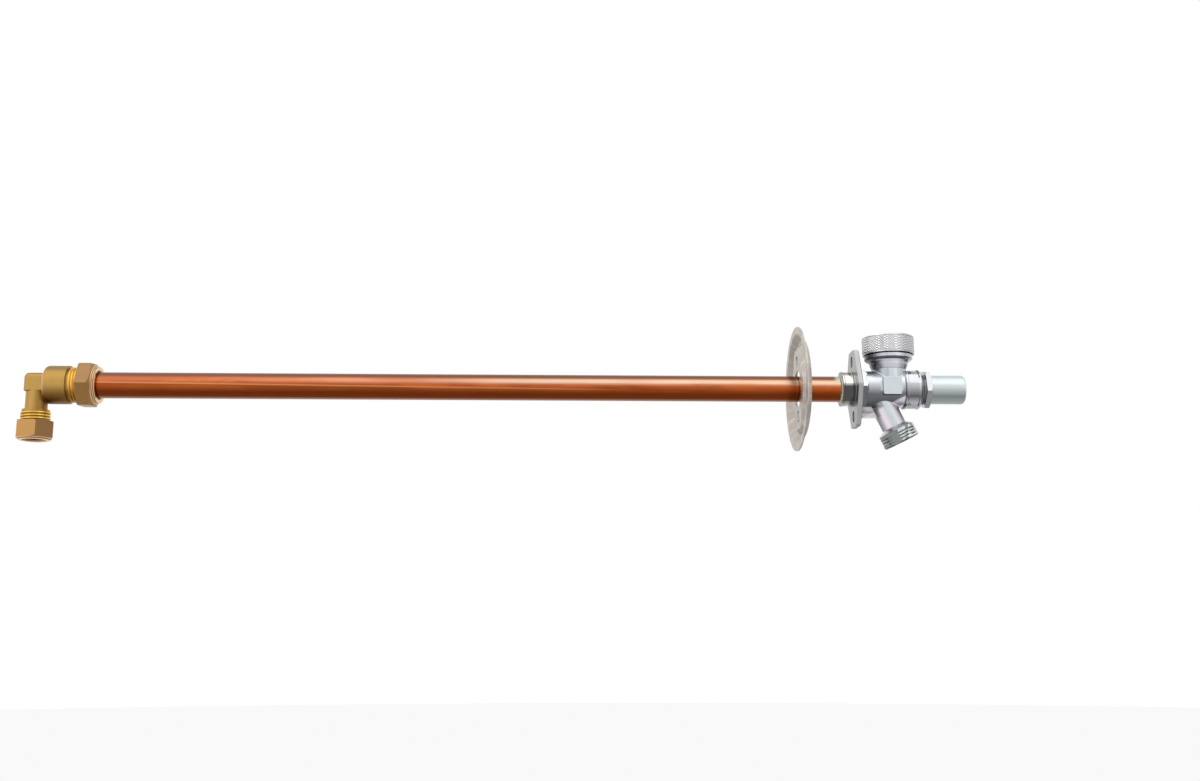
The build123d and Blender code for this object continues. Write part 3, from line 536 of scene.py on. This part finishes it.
def cap_finish():
    """Satin knurled cap in bands of painted reflection; painted highlights and painted shade on
    the diamonds' facets, and painted shade in the grooves between them, inside the cap and along
    its bottom edge.
    """
    finish = Finish("knurled_cap")
    place = finish.place()
    along, across, height = finish.axes(place)
    centred = along - branch_x
    radius = (centred * centred + across * across).root()
    side = finish.towards(ALONG)
    cloud = finish.noise(place, 130.0, 3.0, 0.5)
    grain = finish.noise(place, 2400.0, 2.0, 0.5)
    around = centred * (1.0 / cap_radius)
    blend = 0.25 * side + 0.75 * around
    colour = finish.bands(blend + 0.04 * (cloud - 0.5), CAP_SHADES, (0.995, 0.995, 1.01))
    groove = (1.0 - radius.above(cap_radius - 0.22 * MM, 0.10 * MM)) * radius.above(
        cap_radius - 0.6 * MM, 0.05 * MM)
    knurled = height.between(cap_low.z + 0.8 * MM, cap_high.z - 1.3 * MM, 0.1 * MM)
    up = finish.towards(UP)
    # painted highlights on up-facing facets and painted shade on down-facing ones, stronger on the
    # side away from the key end
    strength = knurled * (0.45 + 0.55 * (1.0 - around.above(-0.30, 0.30)))
    colour = finish.mix(strength * (1.0 - up.above(0.05, 0.12)) * 0.36, colour, tone(84, 85, 88))
    colour = finish.mix(strength * up.above(0.12, 0.12) * 0.75, colour, tone(252, 252, 253))
    # painted shade in the grooves between the diamonds
    colour = finish.mix(strength * groove * 0.25, colour, tone(90, 91, 94))
    # painted shade inside the cap
    inside = 1.0 - radius.above(cap_radius - 1.6 * MM, 0.2 * MM)
    below = 1.0 - height.above(cap_high.z - 2.0 * MM, 0.1 * MM)
    colour = finish.mix(inside * below * 0.95, colour, tone(48, 48, 52))
    # painted shade along the cap's bottom edge
    skirt = 1.0 - height.above(cap_low.z + 0.08 * MM, 0.04 * MM)
    colour = finish.mix(skirt * 0.8, colour, tone(84, 84, 90))
    roughness = 0.26 + 0.08 * cloud + 0.05 * grain
    return finish.done(colour, roughness, 1.0, finish.bump(grain, 0.00003, 0.4))


def stainless_finish(colours):
    """Pressed stainless sheet with a soft polish, faint radial smears and painted shade where it
    faces down.
    """
    finish = Finish("stainless")
    place = finish.place()
    _, across, height = finish.axes(place)
    cloud = finish.noise(place, 60.0, 3.0, 0.5)
    fine = finish.noise(place, 1500.0, 2.0, 0.5)
    smear = finish.noise(finish.node("ShaderNodeCombineXYZ", {}, {
        0: height.angle(across) * 3.0,
    }), 1.6, 2.0, 0.5)
    up = finish.towards(UP)
    colour = finish.mix(cloud * 0.5, colours.stainless, tone(168, 160, 152))
    colour = finish.mix(smear.above(0.56, 0.10) * 0.5, colour, tone(226, 220, 212))
    # painted shade where it faces down
    colour = finish.mix((1.0 - up.above(-0.3, 0.25)) * 0.5, colour, tone(112, 104, 94))
    roughness = 0.40 + 0.10 * cloud + 0.04 * fine
    return finish.done(colour, roughness, 1.0, finish.bump(fine, 0.00002, 0.3))


def solder_finish():
    """Dull solder with small ripples."""
    finish = Finish("solder")
    place = finish.place()
    ripple = finish.noise(place, 900.0, 3.0, 0.6)
    colour = finish.mix(ripple, tone(208, 206, 196), tone(150, 140, 124))
    return finish.done(colour, 0.30 + 0.25 * ripple, 1.0, finish.bump(ripple, 0.0002, 0.8))


def rubber_finish():
    """Matte black rubber."""
    finish = Finish("rubber")
    grain = finish.noise(finish.place(), 2400.0, 2.0, 0.5)
    colour = finish.mix(grain, (0.018, 0.018, 0.020), (0.035, 0.035, 0.037))
    return finish.done(colour, 0.60 + 0.2 * grain, 0.0, finish.bump(grain, 0.00003, 0.5))


def plastic_finish():
    """Moulded ivory plastic."""
    finish = Finish("plastic")
    grain = finish.noise(finish.place(), 700.0, 2.0, 0.5)
    colour = finish.mix(grain, (0.78, 0.77, 0.70), (0.70, 0.69, 0.62))
    return finish.done(colour, 0.38 + 0.1 * grain, 0.0, finish.bump(grain, 0.00003, 0.4))


def floor_finish():
    """Pale floor: near white where the camera or a reflection sees it, with soft shadows."""
    finish = Finish("floor")
    speckle = finish.noise(finish.place(), 3.0, 2.0, 0.5)
    finish.done(finish.mix(speckle, (0.86, 0.86, 0.86), (0.88, 0.88, 0.88)), 0.7, 0.0)
    seen = finish.node("ShaderNodeLightPath", output=0)
    rays = seen.socket.node.outputs
    for name in MIRRORED_RAYS:
        seen = seen.most(Value(finish, rays[name]))
    tree = finish.tree
    output = next(node for node in tree.nodes if node.type == "OUTPUT_MATERIAL")
    lit = output.inputs[0].links[0].from_socket
    white = tree.nodes.new("ShaderNodeEmission")
    mix = tree.nodes.new("ShaderNodeMixShader")
    tree.links.new((seen * FLOOR_WHITENESS).socket, mix.inputs[0])
    tree.links.new(lit, mix.inputs[1])
    tree.links.new(white.outputs[0], mix.inputs[2])
    tree.links.new(mix.outputs[0], output.inputs[0])
    return finish.material


# Sizes and colours that a user would change

class SillcockSizes(bpy.types.PropertyGroup):
    """Sizes of the fine pieces."""

    knurl_pitch: bpy.props.FloatProperty(
        name="Knurl pitch", description="Width of one knurl diamond on the cap",
        default=1.8 * MM, unit="LENGTH",
    )
    knurl_height: bpy.props.FloatProperty(
        name="Knurl height", description="Height of the knurl diamonds",
        default=0.42 * MM, unit="LENGTH",
    )
    hose_pitch: bpy.props.FloatProperty(
        name="Hose thread pitch", description="From one turn of the hose thread to the next",
        default=2.2 * MM, unit="LENGTH",
    )
    hose_depth: bpy.props.FloatProperty(
        name="Hose thread depth", description="Crest to root of the hose thread",
        default=0.48 * MM, unit="LENGTH",
    )
    tube_pitch: bpy.props.FloatProperty(
        name="Tube thread pitch", description="Thread under the large nut",
        default=2.1 * MM, unit="LENGTH",
    )
    inlet_pitch: bpy.props.FloatProperty(
        name="Inlet thread pitch", description="Thread under the small nut",
        default=2.1 * MM, unit="LENGTH",
    )
    headwork_pitch: bpy.props.FloatProperty(
        name="Headwork thread pitch", description="Thread behind the headwork's hexagon",
        default=1.2 * MM, unit="LENGTH",
    )
    solder_wander: bpy.props.FloatProperty(
        name="Solder wander", description="How unevenly the solder runs round the tube",
        default=0.35 * MM, unit="LENGTH",
    )


def colour_setting(name, description, shade):
    """A colour that a user may change, given as screen levels."""
    return bpy.props.FloatVectorProperty(
        name=name, description=description, default=tone(*shade), subtype="COLOR",
        min=0.0, max=1.0,
    )


class SillcockColours(bpy.types.PropertyGroup):
    """Colours of the metals."""

    copper: colour_setting("Copper", "Clean copper", (200, 102, 48))
    copper_tarnish: colour_setting("Copper tarnish", "Red tarnish", (166, 74, 34))
    # painted shade: the colour the copper takes where it faces down
    painted_copper_shade: colour_setting("Copper underside", "Where it faces down", (94, 38, 10))
    cast_brass: colour_setting("Cast brass", "Casting of the elbow", (186, 150, 84))
    nut_brass: colour_setting("Nut brass", "Compression nuts", (160, 127, 88))
    turned_brass: colour_setting("Turned brass", "Machined threads", (236, 192, 92))
    stainless: colour_setting("Stainless", "Pressed wall plate", (196, 189, 181))


class StageSettings(bpy.types.PropertyGroup):
    """The camera's lens."""

    lens: bpy.props.FloatProperty(
        name="Lens", description="Focal length on a 36 mm sensor", default=41.0, unit="CAMERA",
    )


# Modelling helpers

def start_clean():
    """Leave edit mode and deselect everything."""
    if bpy.context.mode != "OBJECT":
        bpy.ops.object.mode_set(mode="OBJECT")
    bpy.ops.object.select_all(action="DESELECT")


def choose(piece):
    """Make a piece the only one selected."""
    start_clean()
    piece.select_set(True)
    bpy.context.view_layer.objects.active = piece


def pick(piece, test):
    """In edit mode, select the points of a piece that pass a test of their place."""
    bpy.ops.mesh.select_all(action="DESELECT")
    form = bmesh.from_edit_mesh(piece.data)
    form.select_mode = {"VERT"}
    for point in form.verts:
        point.select = bool(test(point.co))
    form.select_flush_mode()
    bmesh.update_edit_mesh(piece.data)


def lathe(name, corners, segments, centre_x, hollow=False):
    """Turn a profile of heights and radii about an upright axis, ring by ring."""
    start_clean()
    height, radius = corners[0]
    bpy.ops.mesh.primitive_circle_add(vertices=segments, radius=radius,
                                      location=(centre_x, 0.0, height))
    piece = bpy.context.object
    piece.name = name
    bpy.ops.object.mode_set(mode="EDIT")
    bpy.ops.mesh.select_all(action="SELECT")
    if not hollow:
        bpy.ops.mesh.edge_face_add()
    for next_height, next_radius in corners[1:]:
        bpy.ops.mesh.extrude_region_move(
            TRANSFORM_OT_translate={"value": (0.0, 0.0, next_height - height)})
        factor = next_radius / radius
        bpy.ops.transform.resize(value=(factor, factor, 1.0),
                                 center_override=(centre_x, 0.0, next_height))
        height, radius = next_height, next_radius
    bpy.ops.object.mode_set(mode="OBJECT")
    bpy.ops.object.transform_apply(location=True, rotation=False, scale=False)
    return piece


def close_up(piece, angle=30.0):
    """Settle a piece at the origin: merged, facing outwards, smooth but for its edges."""
    choose(piece)
    bpy.ops.object.transform_apply(location=True, rotation=True, scale=True)
    bpy.ops.object.mode_set(mode="EDIT")
    bpy.ops.mesh.select_all(action="SELECT")
    bpy.ops.mesh.remove_doubles(threshold=0.002 * MM)
    bpy.ops.mesh.normals_make_consistent(inside=False)
    bpy.ops.object.mode_set(mode="OBJECT")
    bpy.ops.object.shade_smooth_by_angle(angle=radians(angle))


def helix(name, radius, depth, width, pitch, length, corners=6):
    """A closed bar wound along +Z from z = 0: a thread's ridge, or the cutter of its groove."""
    steps_per_turn = 60
    start_clean()
    bpy.ops.mesh.primitive_circle_add(vertices=corners, radius=1.0, rotation=(pi / 2, 0.0, 0.0))
    coil = bpy.context.object
    coil.name = name
    bpy.ops.object.transform_apply(location=True, rotation=True, scale=True)
    bpy.ops.object.mode_set(mode="EDIT")
    bpy.ops.mesh.select_all(action="SELECT")
    across = depth / cos(pi / 6) if corners == 6 else depth
    bpy.ops.transform.resize(value=(across, 1.0, width), center_override=(0, 0, 0))
    bpy.ops.transform.translate(value=(radius, 0.0, 0.0))
    bpy.ops.object.mode_set(mode="OBJECT")
    turns = length / pitch
    screw = coil.modifiers.new("wind", "SCREW")
    screw.axis = "Z"
    screw.angle = 2.0 * pi * turns
    screw.screw_offset = length
    screw.steps = screw.render_steps = int(steps_per_turn * turns)
    screw.use_merge_vertices = False
    bpy.ops.object.modifier_apply(modifier=screw.name)
    bpy.ops.object.mode_set(mode="EDIT")
    for end_z in (0.0, length):
        turn = 2.0 * pi * turns * end_z / length
        flat = Vector((-sin(turn), cos(turn), 0.0))
        pick(coil, lambda place: abs(place.dot(flat)) < 0.001 * MM
             and abs(place.z - end_z) < width * 1.01
             and place.x * cos(turn) + place.y * sin(turn) > 0.0)
        bpy.ops.mesh.edge_face_add()
    bpy.ops.mesh.select_all(action="SELECT")
    bpy.ops.mesh.normals_make_consistent(inside=False)
    bpy.ops.object.mode_set(mode="OBJECT")
    return coil


def stand(piece, turn, place):
    """Turn a piece about Y and move it to its place."""
    choose(piece)
    piece.rotation_euler = (0.0, turn, 0.0)
    piece.location = place
    bpy.ops.object.transform_apply(location=True, rotation=True, scale=True)


def copy_of(node, name):
    """A copy of a CAD node's mesh, with its smooth shading, as a new piece at the origin."""
    piece = bpy.data.objects.new(name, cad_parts[node].data.copy())
    bpy.context.scene.collection.objects.link(piece)
    piece.data.materials.clear()
    choose(piece)
    return piece


def give(piece, body, replaced=()):
    """Hang a finished piece on its body and hide the nodes it replaces."""
    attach(piece, body)
    if replaced:
        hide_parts(*replaced)


def finish_all(names, material):
    """Give CAD nodes and pieces a material."""
    for name in names:
        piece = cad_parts.get(name) or bpy.data.objects[name]
        piece.data.materials.clear()
        piece.data.materials.append(material)


# Operators

class SILLCOCK_OT_cap(bpy.types.Operator):
    """Turn the breaker's cap and knurl its side with raised diamonds"""

    bl_idname = "sillcock.cap"
    bl_label = "Knurled cap"

    def execute(self, context):
        sizes = context.scene.sillcock_sizes
        root = cap_radius - sizes.knurl_height
        around = 2 * round(2 * pi * cap_radius / sizes.knurl_pitch)
        rows = 2 * round((knurl_high - knurl_low) / sizes.knurl_pitch)
        cap = lathe("knurled_cap", self.profile(root, rows), around, branch_x)
        bpy.ops.object.mode_set(mode="EDIT")
        pick(cap, lambda place: place.z > cap_high.z - 0.3 * MM
             and self.radius(place) < cap_radius - 3.3 * MM)
        bpy.ops.mesh.edge_face_add()
        self.raise_diamonds(cap, root, rows, around)
        close_up(cap, 20.0)
        give(cap, "tap", ["breaker_cap"])
        return {"FINISHED"}

    @staticmethod
    def profile(root, rows):
        """Heights and radii of the cap, from the socket inside to the dish on top."""
        ceiling = cap_high.z - 2.2 * MM
        socket = 7.55 * MM
        socket_outside = socket + 2.0 * MM
        socket_foot = ceiling - 4.5 * MM
        wall = cap_radius - 2.3 * MM
        edge = 1.3 * MM
        step = (knurl_high - knurl_low) / rows
        corners = [
            (ceiling, socket), (socket_foot, socket), (socket_foot, socket_outside),
            (ceiling, socket_outside), (ceiling, wall), (cap_low.z, wall),
            (cap_low.z, cap_radius - 0.6 * MM), (cap_low.z + 0.5 * MM, cap_radius - 0.05 * MM),
            (knurl_low - 0.1 * MM, cap_radius - 0.05 * MM),
        ]
        corners += [(knurl_low + row * step, root) for row in range(rows + 1)]
        corners.append((knurl_high + 0.15 * MM, cap_radius - 0.1 * MM))
        corners += [(cap_high.z - edge * (1 - sin(turn)), cap_radius - edge * (1 - cos(turn)))
                    for turn in (radians(10 + 16 * count) for count in range(6))]
        return corners + [
            (cap_high.z, cap_radius - 3.0 * MM), (cap_high.z - 0.25 * MM, cap_radius - 3.6 * MM),
        ]

    def raise_diamonds(self, cap, root, rows, around):
        """Lift every second point of every row, staggered from row to row."""
        step = (knurl_high - knurl_low) / rows
        full = 2 * pi / around

        def crest(place):
            row = round((place.z - knurl_low) / step)
            inside = 0 < row < rows and abs(place.z - knurl_low - row * step) < 0.05 * step
            turn = round(atan2(place.y, place.x - branch_x) / full)
            return inside and abs(self.radius(place) - root) < 0.01 * MM and (row + turn) % 2

        pick(cap, crest)
        if cap.data.total_vert_sel == 0:
            raise RuntimeError("no crest of the knurl was found")
        factor = (cap_radius - 0.02 * MM) / root
        bpy.ops.transform.resize(value=(factor, factor, 1.0),
                                 center_override=(branch_x, 0.0, 0.0))
        pick(cap, lambda place: knurl_low - 0.01 * MM < place.z < knurl_high + 0.01 * MM
             and self.radius(place) > root - 0.05 * MM)
        bpy.ops.mesh.quads_convert_to_tris(quad_method="SHORTEST_DIAGONAL")

    @staticmethod
    def radius(place):
        """How far a point is from the cap's axis."""
        return Vector((place.x - branch_x, place.y)).length


class SILLCOCK_OT_valve(bpy.types.Operator):
    """Put a ring with a cut hose thread and two flats in place of the plain end"""

    bl_idname = "sillcock.valve"
    bl_label = "Valve body with hose thread"

    def execute(self, context):
        sizes = context.scene.sillcock_sizes
        body = self.open_casting()
        give(body, "tap", ["valve_body"])
        ring = self.plain_ring()
        margin = 1.3 * MM
        cutter = helix("hose_cutter", HOSE_RADIUS, sizes.hose_depth, 0.34 * sizes.hose_pitch,
                       sizes.hose_pitch, HOSE_END - HOSE_START - 2 * margin, corners=4)
        stand(cutter, 0.0, (0.0, 0.0, HOSE_START + margin))
        self.cut(ring, cutter)
        for turn in (HOSE_FLAT_TURN, HOSE_FLAT_TURN + pi):
            self.cut(ring, self.flat_cutter(turn))
        stand(ring, pi - OUTLET_TILT, (OUTLET_X, 0.0, 0.0))
        close_up(ring, 24.0)
        give(ring, "tap")
        return {"FINISHED"}

    @staticmethod
    def open_casting():
        """The casting without the plain surface round its hose end."""
        body = copy_of("valve_body", "valve_casting")
        foot = Vector((OUTLET_X, 0.0, 0.0))
        bpy.ops.object.mode_set(mode="EDIT")
        bpy.ops.mesh.select_all(action="DESELECT")
        form = bmesh.from_edit_mesh(body.data)
        low, high = HOSE_START - 0.01 * MM, HOSE_END + 0.01 * MM
        for face in form.faces:
            reaches = [(corner.co - foot).dot(OUTLET_AXIS) for corner in face.verts]
            offsets = [(corner.co - foot - reach * OUTLET_AXIS).length
                       for corner, reach in zip(face.verts, reaches)]
            face.select = low < min(reaches) and max(reaches) < high and min(offsets) > HOSE_BORE
        bmesh.update_edit_mesh(body.data)
        bpy.ops.mesh.delete(type="FACE")
        bpy.ops.object.mode_set(mode="OBJECT")
        return body

    @staticmethod
    def plain_ring():
        """Upright ring of the thread's full diameter."""
        corners = [
            (HOSE_START, HOSE_BORE), (HOSE_START, HOSE_RADIUS), (HOSE_END, HOSE_RADIUS),
            (HOSE_END, HOSE_BORE), (HOSE_START, HOSE_BORE),
        ]
        ring = lathe("hose_thread_ring", corners, 144, 0.0, hollow=True)
        close_up(ring)
        return ring

    @staticmethod
    def flat_cutter(turn):
        """A block that mills one flat."""
        start_clean()
        flat = HOSE_RADIUS - HOSE_FLAT_CUT
        size = 10.0 * MM
        place = Vector((0.0, -flat - size / 2, (HOSE_START + HOSE_END) / 2))
        bpy.ops.mesh.primitive_cube_add(size=size, location=place)
        block = bpy.context.object
        block.scale = (2.0, 1.0, 1.4)
        bpy.ops.object.transform_apply(location=True, rotation=True, scale=True)
        block.rotation_euler = (0.0, 0.0, turn)
        bpy.ops.object.transform_apply(location=True, rotation=True, scale=True)
        return block

    @staticmethod
    def cut(piece, cutter):
        """Take the cutter's shape out of a piece."""
        choose(piece)
        cut = piece.modifiers.new("cut", "BOOLEAN")
        cut.operation = "DIFFERENCE"
        cut.solver = "EXACT"
        cut.object = cutter
        before = len(piece.data.polygons)
        bpy.ops.object.modifier_apply(modifier=cut.name)
        if len(piece.data.polygons) == before:
            raise RuntimeError("the hose thread was not cut")
        bpy.data.objects.remove(cutter)


class SILLCOCK_OT_threads(bpy.types.Operator):
    """Wind the ridges of the threads that show behind nuts"""

    bl_idname = "sillcock.threads"
    bl_label = "Thread ridges"

    def execute(self, context):
        sizes = context.scene.sillcock_sizes
        self.wind("tube_thread", "turned_brass", core=12.2 * MM, depth=0.78 * MM, share=0.47,
                  pitch=sizes.tube_pitch, length=7.0 * MM, turn=pi / 2,
                  place=(leg_x + 24.4 * MM, 0.0, 0.0))
        self.wind("inlet_thread", "turned_brass", core=9.65 * MM, depth=0.78 * MM, share=0.47,
                  pitch=sizes.inlet_pitch, length=7.4 * MM, turn=pi,
                  place=(leg_x, 0.0, -19.6 * MM))
        self.wind("headwork_thread", "plated_brass", core=10.35 * MM, depth=0.76 * MM, share=0.45,
                  pitch=sizes.headwork_pitch, length=2.9 * MM, turn=pi / 2,
                  place=(49.2 * MM, 0.0, 0.0))
        return {"FINISHED"}

    @staticmethod
    def wind(name, slot, core, depth, share, pitch, length, turn, place):
        """Wind a ridge on a core, as wide as its share of the pitch, and set it in place."""
        ridge = helix(name, core - RIDGE_SINK, depth, share * pitch, pitch, length)
        stand(ridge, turn, place)
        close_up(ridge)
        give(ridge, "tap")


class SILLCOCK_OT_solder(bpy.types.Operator):
    """Run a ring of solder unevenly round the tube at the collar's mouth"""

    bl_idname = "sillcock.solder"
    bl_label = "Solder ring"

    def execute(self, context):
        wander = context.scene.sillcock_sizes.solder_wander
        _, mouth = node_box("solder_fillet")
        inner = 9.53 * MM     # just outside the copper
        corners = [
            (0.0, inner), (0.0, inner + 1.15 * MM), (-0.4 * MM, inner + 1.05 * MM),
            (-0.8 * MM, inner + 0.75 * MM), (-1.1 * MM, inner + 0.35 * MM),
            (-1.25 * MM, inner + 0.02 * MM), (-1.2 * MM, inner),
        ]
        ring = lathe("solder_ring", corners + corners[:1], 72, 0.0, hollow=True)
        bpy.ops.object.mode_set(mode="EDIT")
        bpy.ops.mesh.select_all(action="SELECT")
        bpy.ops.mesh.remove_doubles(threshold=0.001 * MM)
        chance = random.Random(7)
        waves = [(count, chance.uniform(0, 2 * pi), chance.uniform(0.3, 1.0))
                 for count in (2, 3, 5, 9)]
        form = bmesh.from_edit_mesh(ring.data)
        for point in form.verts:
            if point.co.z < -0.3 * MM:
                turn = atan2(point.co.y, point.co.x)
                push = sum(size * sin(count * turn + phase) for count, phase, size in waves)
                point.co.z += min(0.0, wander * (0.35 * push - 0.5)) * -point.co.z / (1.2 * MM)
        bmesh.update_edit_mesh(ring.data)
        bpy.ops.object.mode_set(mode="OBJECT")
        stand(ring, pi / 2, (mouth.x, 0.0, 0.0))
        close_up(ring, 60.0)
        give(ring, "tap", ["solder_fillet"])
        return {"FINISHED"}


class SILLCOCK_OT_finishes(bpy.types.Operator):
    """Give every node and piece its metal, rubber or plastic"""

    bl_idname = "sillcock.finishes"
    bl_label = "Finish the nodes"

    def execute(self, context):
        colours = context.scene.sillcock_colours
        turned = turned_brass_finish(colours)
        tube_rings = [leg_x + ring for ring in TUBE_NUT_RINGS]
        finish_all(["supply_tube"], copper_finish(colours))
        finish_all(["elbow_body"], cast_brass_finish(colours))
        finish_all(["tube_nut"], nut_brass_finish(
            colours, "tube_nut_brass", ALONG, tube_rings, leg_x + TUBE_NUT_RIM))
        finish_all(["inlet_nut"], nut_brass_finish(
            colours, "inlet_nut_brass", (0, 0, -1), [INLET_NUT_RING], INLET_NUT_RIM))
        finish_all(["valve_body", "valve_casting", "hose_thread_ring"], valve_finish())
        finish_all(["headwork", "headwork_thread"], headwork_finish())
        finish_all(["breaker_cap", "knurled_cap"], cap_finish())
        finish_all([
            "spindle", "stem_rod", "stem_tip", "washer_holder", "washer_screw", "valve_seat",
            "breaker_bonnet", "tube_olive", "inlet_olive", "tube_thread", "inlet_thread",
        ], turned)
        finish_all([
            "headwork_seal", "spindle_seals", "seat_washer", "breaker_gasket", "float_disc",
        ], rubber_finish())
        finish_all(["breaker_float"], plastic_finish())
        finish_all(["solder_fillet", "solder_ring"], solder_finish())
        finish_all(["wall_plate", "stem_pins", "holder_ring"], stainless_finish(colours))
        return {"FINISHED"}


class SILLCOCK_OT_stage(bpy.types.Operator):
    """Set up the floor, the lamps and the camera"""

    bl_idname = "sillcock.stage"
    bl_label = "Set up the stage"

    def execute(self, context):
        settings = context.scene.sillcock_stage
        self.add_floor()
        self.light_world(context.scene)
        self.add_lamps()
        self.add_camera(context.scene, settings)
        context.scene.view_settings.view_transform = "Standard"
        return {"FINISHED"}

    def add_floor(self):
        """A wide pale disc under the tap."""
        bpy.ops.mesh.primitive_circle_add(vertices=96, radius=FLOOR_RADIUS, fill_type="NGON",
                                          location=(0, 0, FLOOR_Z))
        floor = bpy.context.object
        floor.name = "floor"
        floor.data.materials.append(floor_finish())

    def light_world(self, scene):
        """A white backdrop that lights the tap more softly than it looks."""
        world = bpy.data.worlds.new("studio")
        scene.world = world
        world.use_nodes = True
        tree = world.node_tree
        tree.nodes.clear()
        output = tree.nodes.new("ShaderNodeOutputWorld")
        rays = tree.nodes.new("ShaderNodeLightPath")
        white = tree.nodes.new("ShaderNodeBackground")
        white.inputs["Color"].default_value = (1, 1, 1, 1)
        soft = tree.nodes.new("ShaderNodeBackground")
        soft.inputs["Color"].default_value = (1, 1, 1, 1)
        soft.inputs["Strength"].default_value = WORLD_STRENGTH
        seen = rays.outputs["Is Camera Ray"]
        for name in MIRRORED_RAYS:
            either = tree.nodes.new("ShaderNodeMath")
            either.operation = "MAXIMUM"
            tree.links.new(seen, either.inputs[0])
            tree.links.new(rays.outputs[name], either.inputs[1])
            seen = either.outputs[0]
        mix = tree.nodes.new("ShaderNodeMixShader")
        tree.links.new(seen, mix.inputs[0])
        tree.links.new(soft.outputs[0], mix.inputs[1])
        tree.links.new(white.outputs[0], mix.inputs[2])
        tree.links.new(mix.outputs[0], output.inputs[0])

    def add_lamps(self):
        """Three large soft lamps aimed at the middle of the tube."""
        for name, place, size, power in LAMPS:
            data = bpy.data.lights.new(name, "AREA")
            data.shape = "RECTANGLE"
            data.size, data.size_y = size
            data.energy = power
            lamp = bpy.data.objects.new(name, data)
            lamp.location = place
            aim = TUBE_MIDDLE - Vector(place)
            lamp.rotation_euler = aim.to_track_quat("-Z", "Y").to_euler()
            bpy.context.scene.collection.objects.link(lamp)

    def add_camera(self, scene, settings):
        """The camera at the photograph's angle."""
        data = bpy.data.cameras.new("camera")
        data.sensor_width = 36.0
        data.lens = settings.lens
        camera = bpy.data.objects.new("camera", data)
        scene.collection.objects.link(camera)
        camera.location = CAMERA_PLACE
        turn = Matrix.Rotation(-radians(CAMERA_YAW), 4, "Z")
        rise = Matrix.Rotation(radians(90.0 + CAMERA_RISE), 4, "X")
        roll = Matrix.Rotation(radians(CAMERA_ROLL), 4, "Z")
        camera.rotation_euler = (turn @ rise @ roll).to_euler()
        data.clip_end = 60.0
        scene.camera = camera


class SILLCOCK_PT_panel(bpy.types.Panel):
    """The sillcock's sizes, colours and steps"""

    bl_idname = "SILLCOCK_PT_panel"
    bl_label = "Sillcock"
    bl_space_type = "VIEW_3D"
    bl_region_type = "UI"
    bl_category = "Sillcock"

    def draw(self, context):
        scene = context.scene
        for group in (scene.sillcock_sizes, scene.sillcock_colours, scene.sillcock_stage):
            box = self.layout.box()
            for name in group.__annotations__:
                box.prop(group, name)
        for step in STEPS:
            self.layout.operator(step.bl_idname)


STEPS = [
    SILLCOCK_OT_cap, SILLCOCK_OT_valve, SILLCOCK_OT_threads, SILLCOCK_OT_solder,
    SILLCOCK_OT_finishes, SILLCOCK_OT_stage,
]
CLASSES = [SillcockSizes, SillcockColours, StageSettings, *STEPS, SILLCOCK_PT_panel]
GROUPS = {
    "sillcock_sizes": SillcockSizes,
    "sillcock_colours": SillcockColours,
    "sillcock_stage": StageSettings,
}


def register():
    """Register the classes and hang the settings on the scene."""
    for item in CLASSES:
        bpy.utils.register_class(item)
    for name, group in GROUPS.items():
        setattr(bpy.types.Scene, name, bpy.props.PointerProperty(type=group))


def unregister():
    """Take the settings and the classes away again."""
    for name in GROUPS:
        delattr(bpy.types.Scene, name)
    for item in reversed(CLASSES):
        bpy.utils.unregister_class(item)


def main():
    """Make every piece."""
    register()
    for step in STEPS:
        module, name = step.bl_idname.split(".")
        getattr(getattr(bpy.ops, module), name)()


if __name__ == "__main__":
    main()
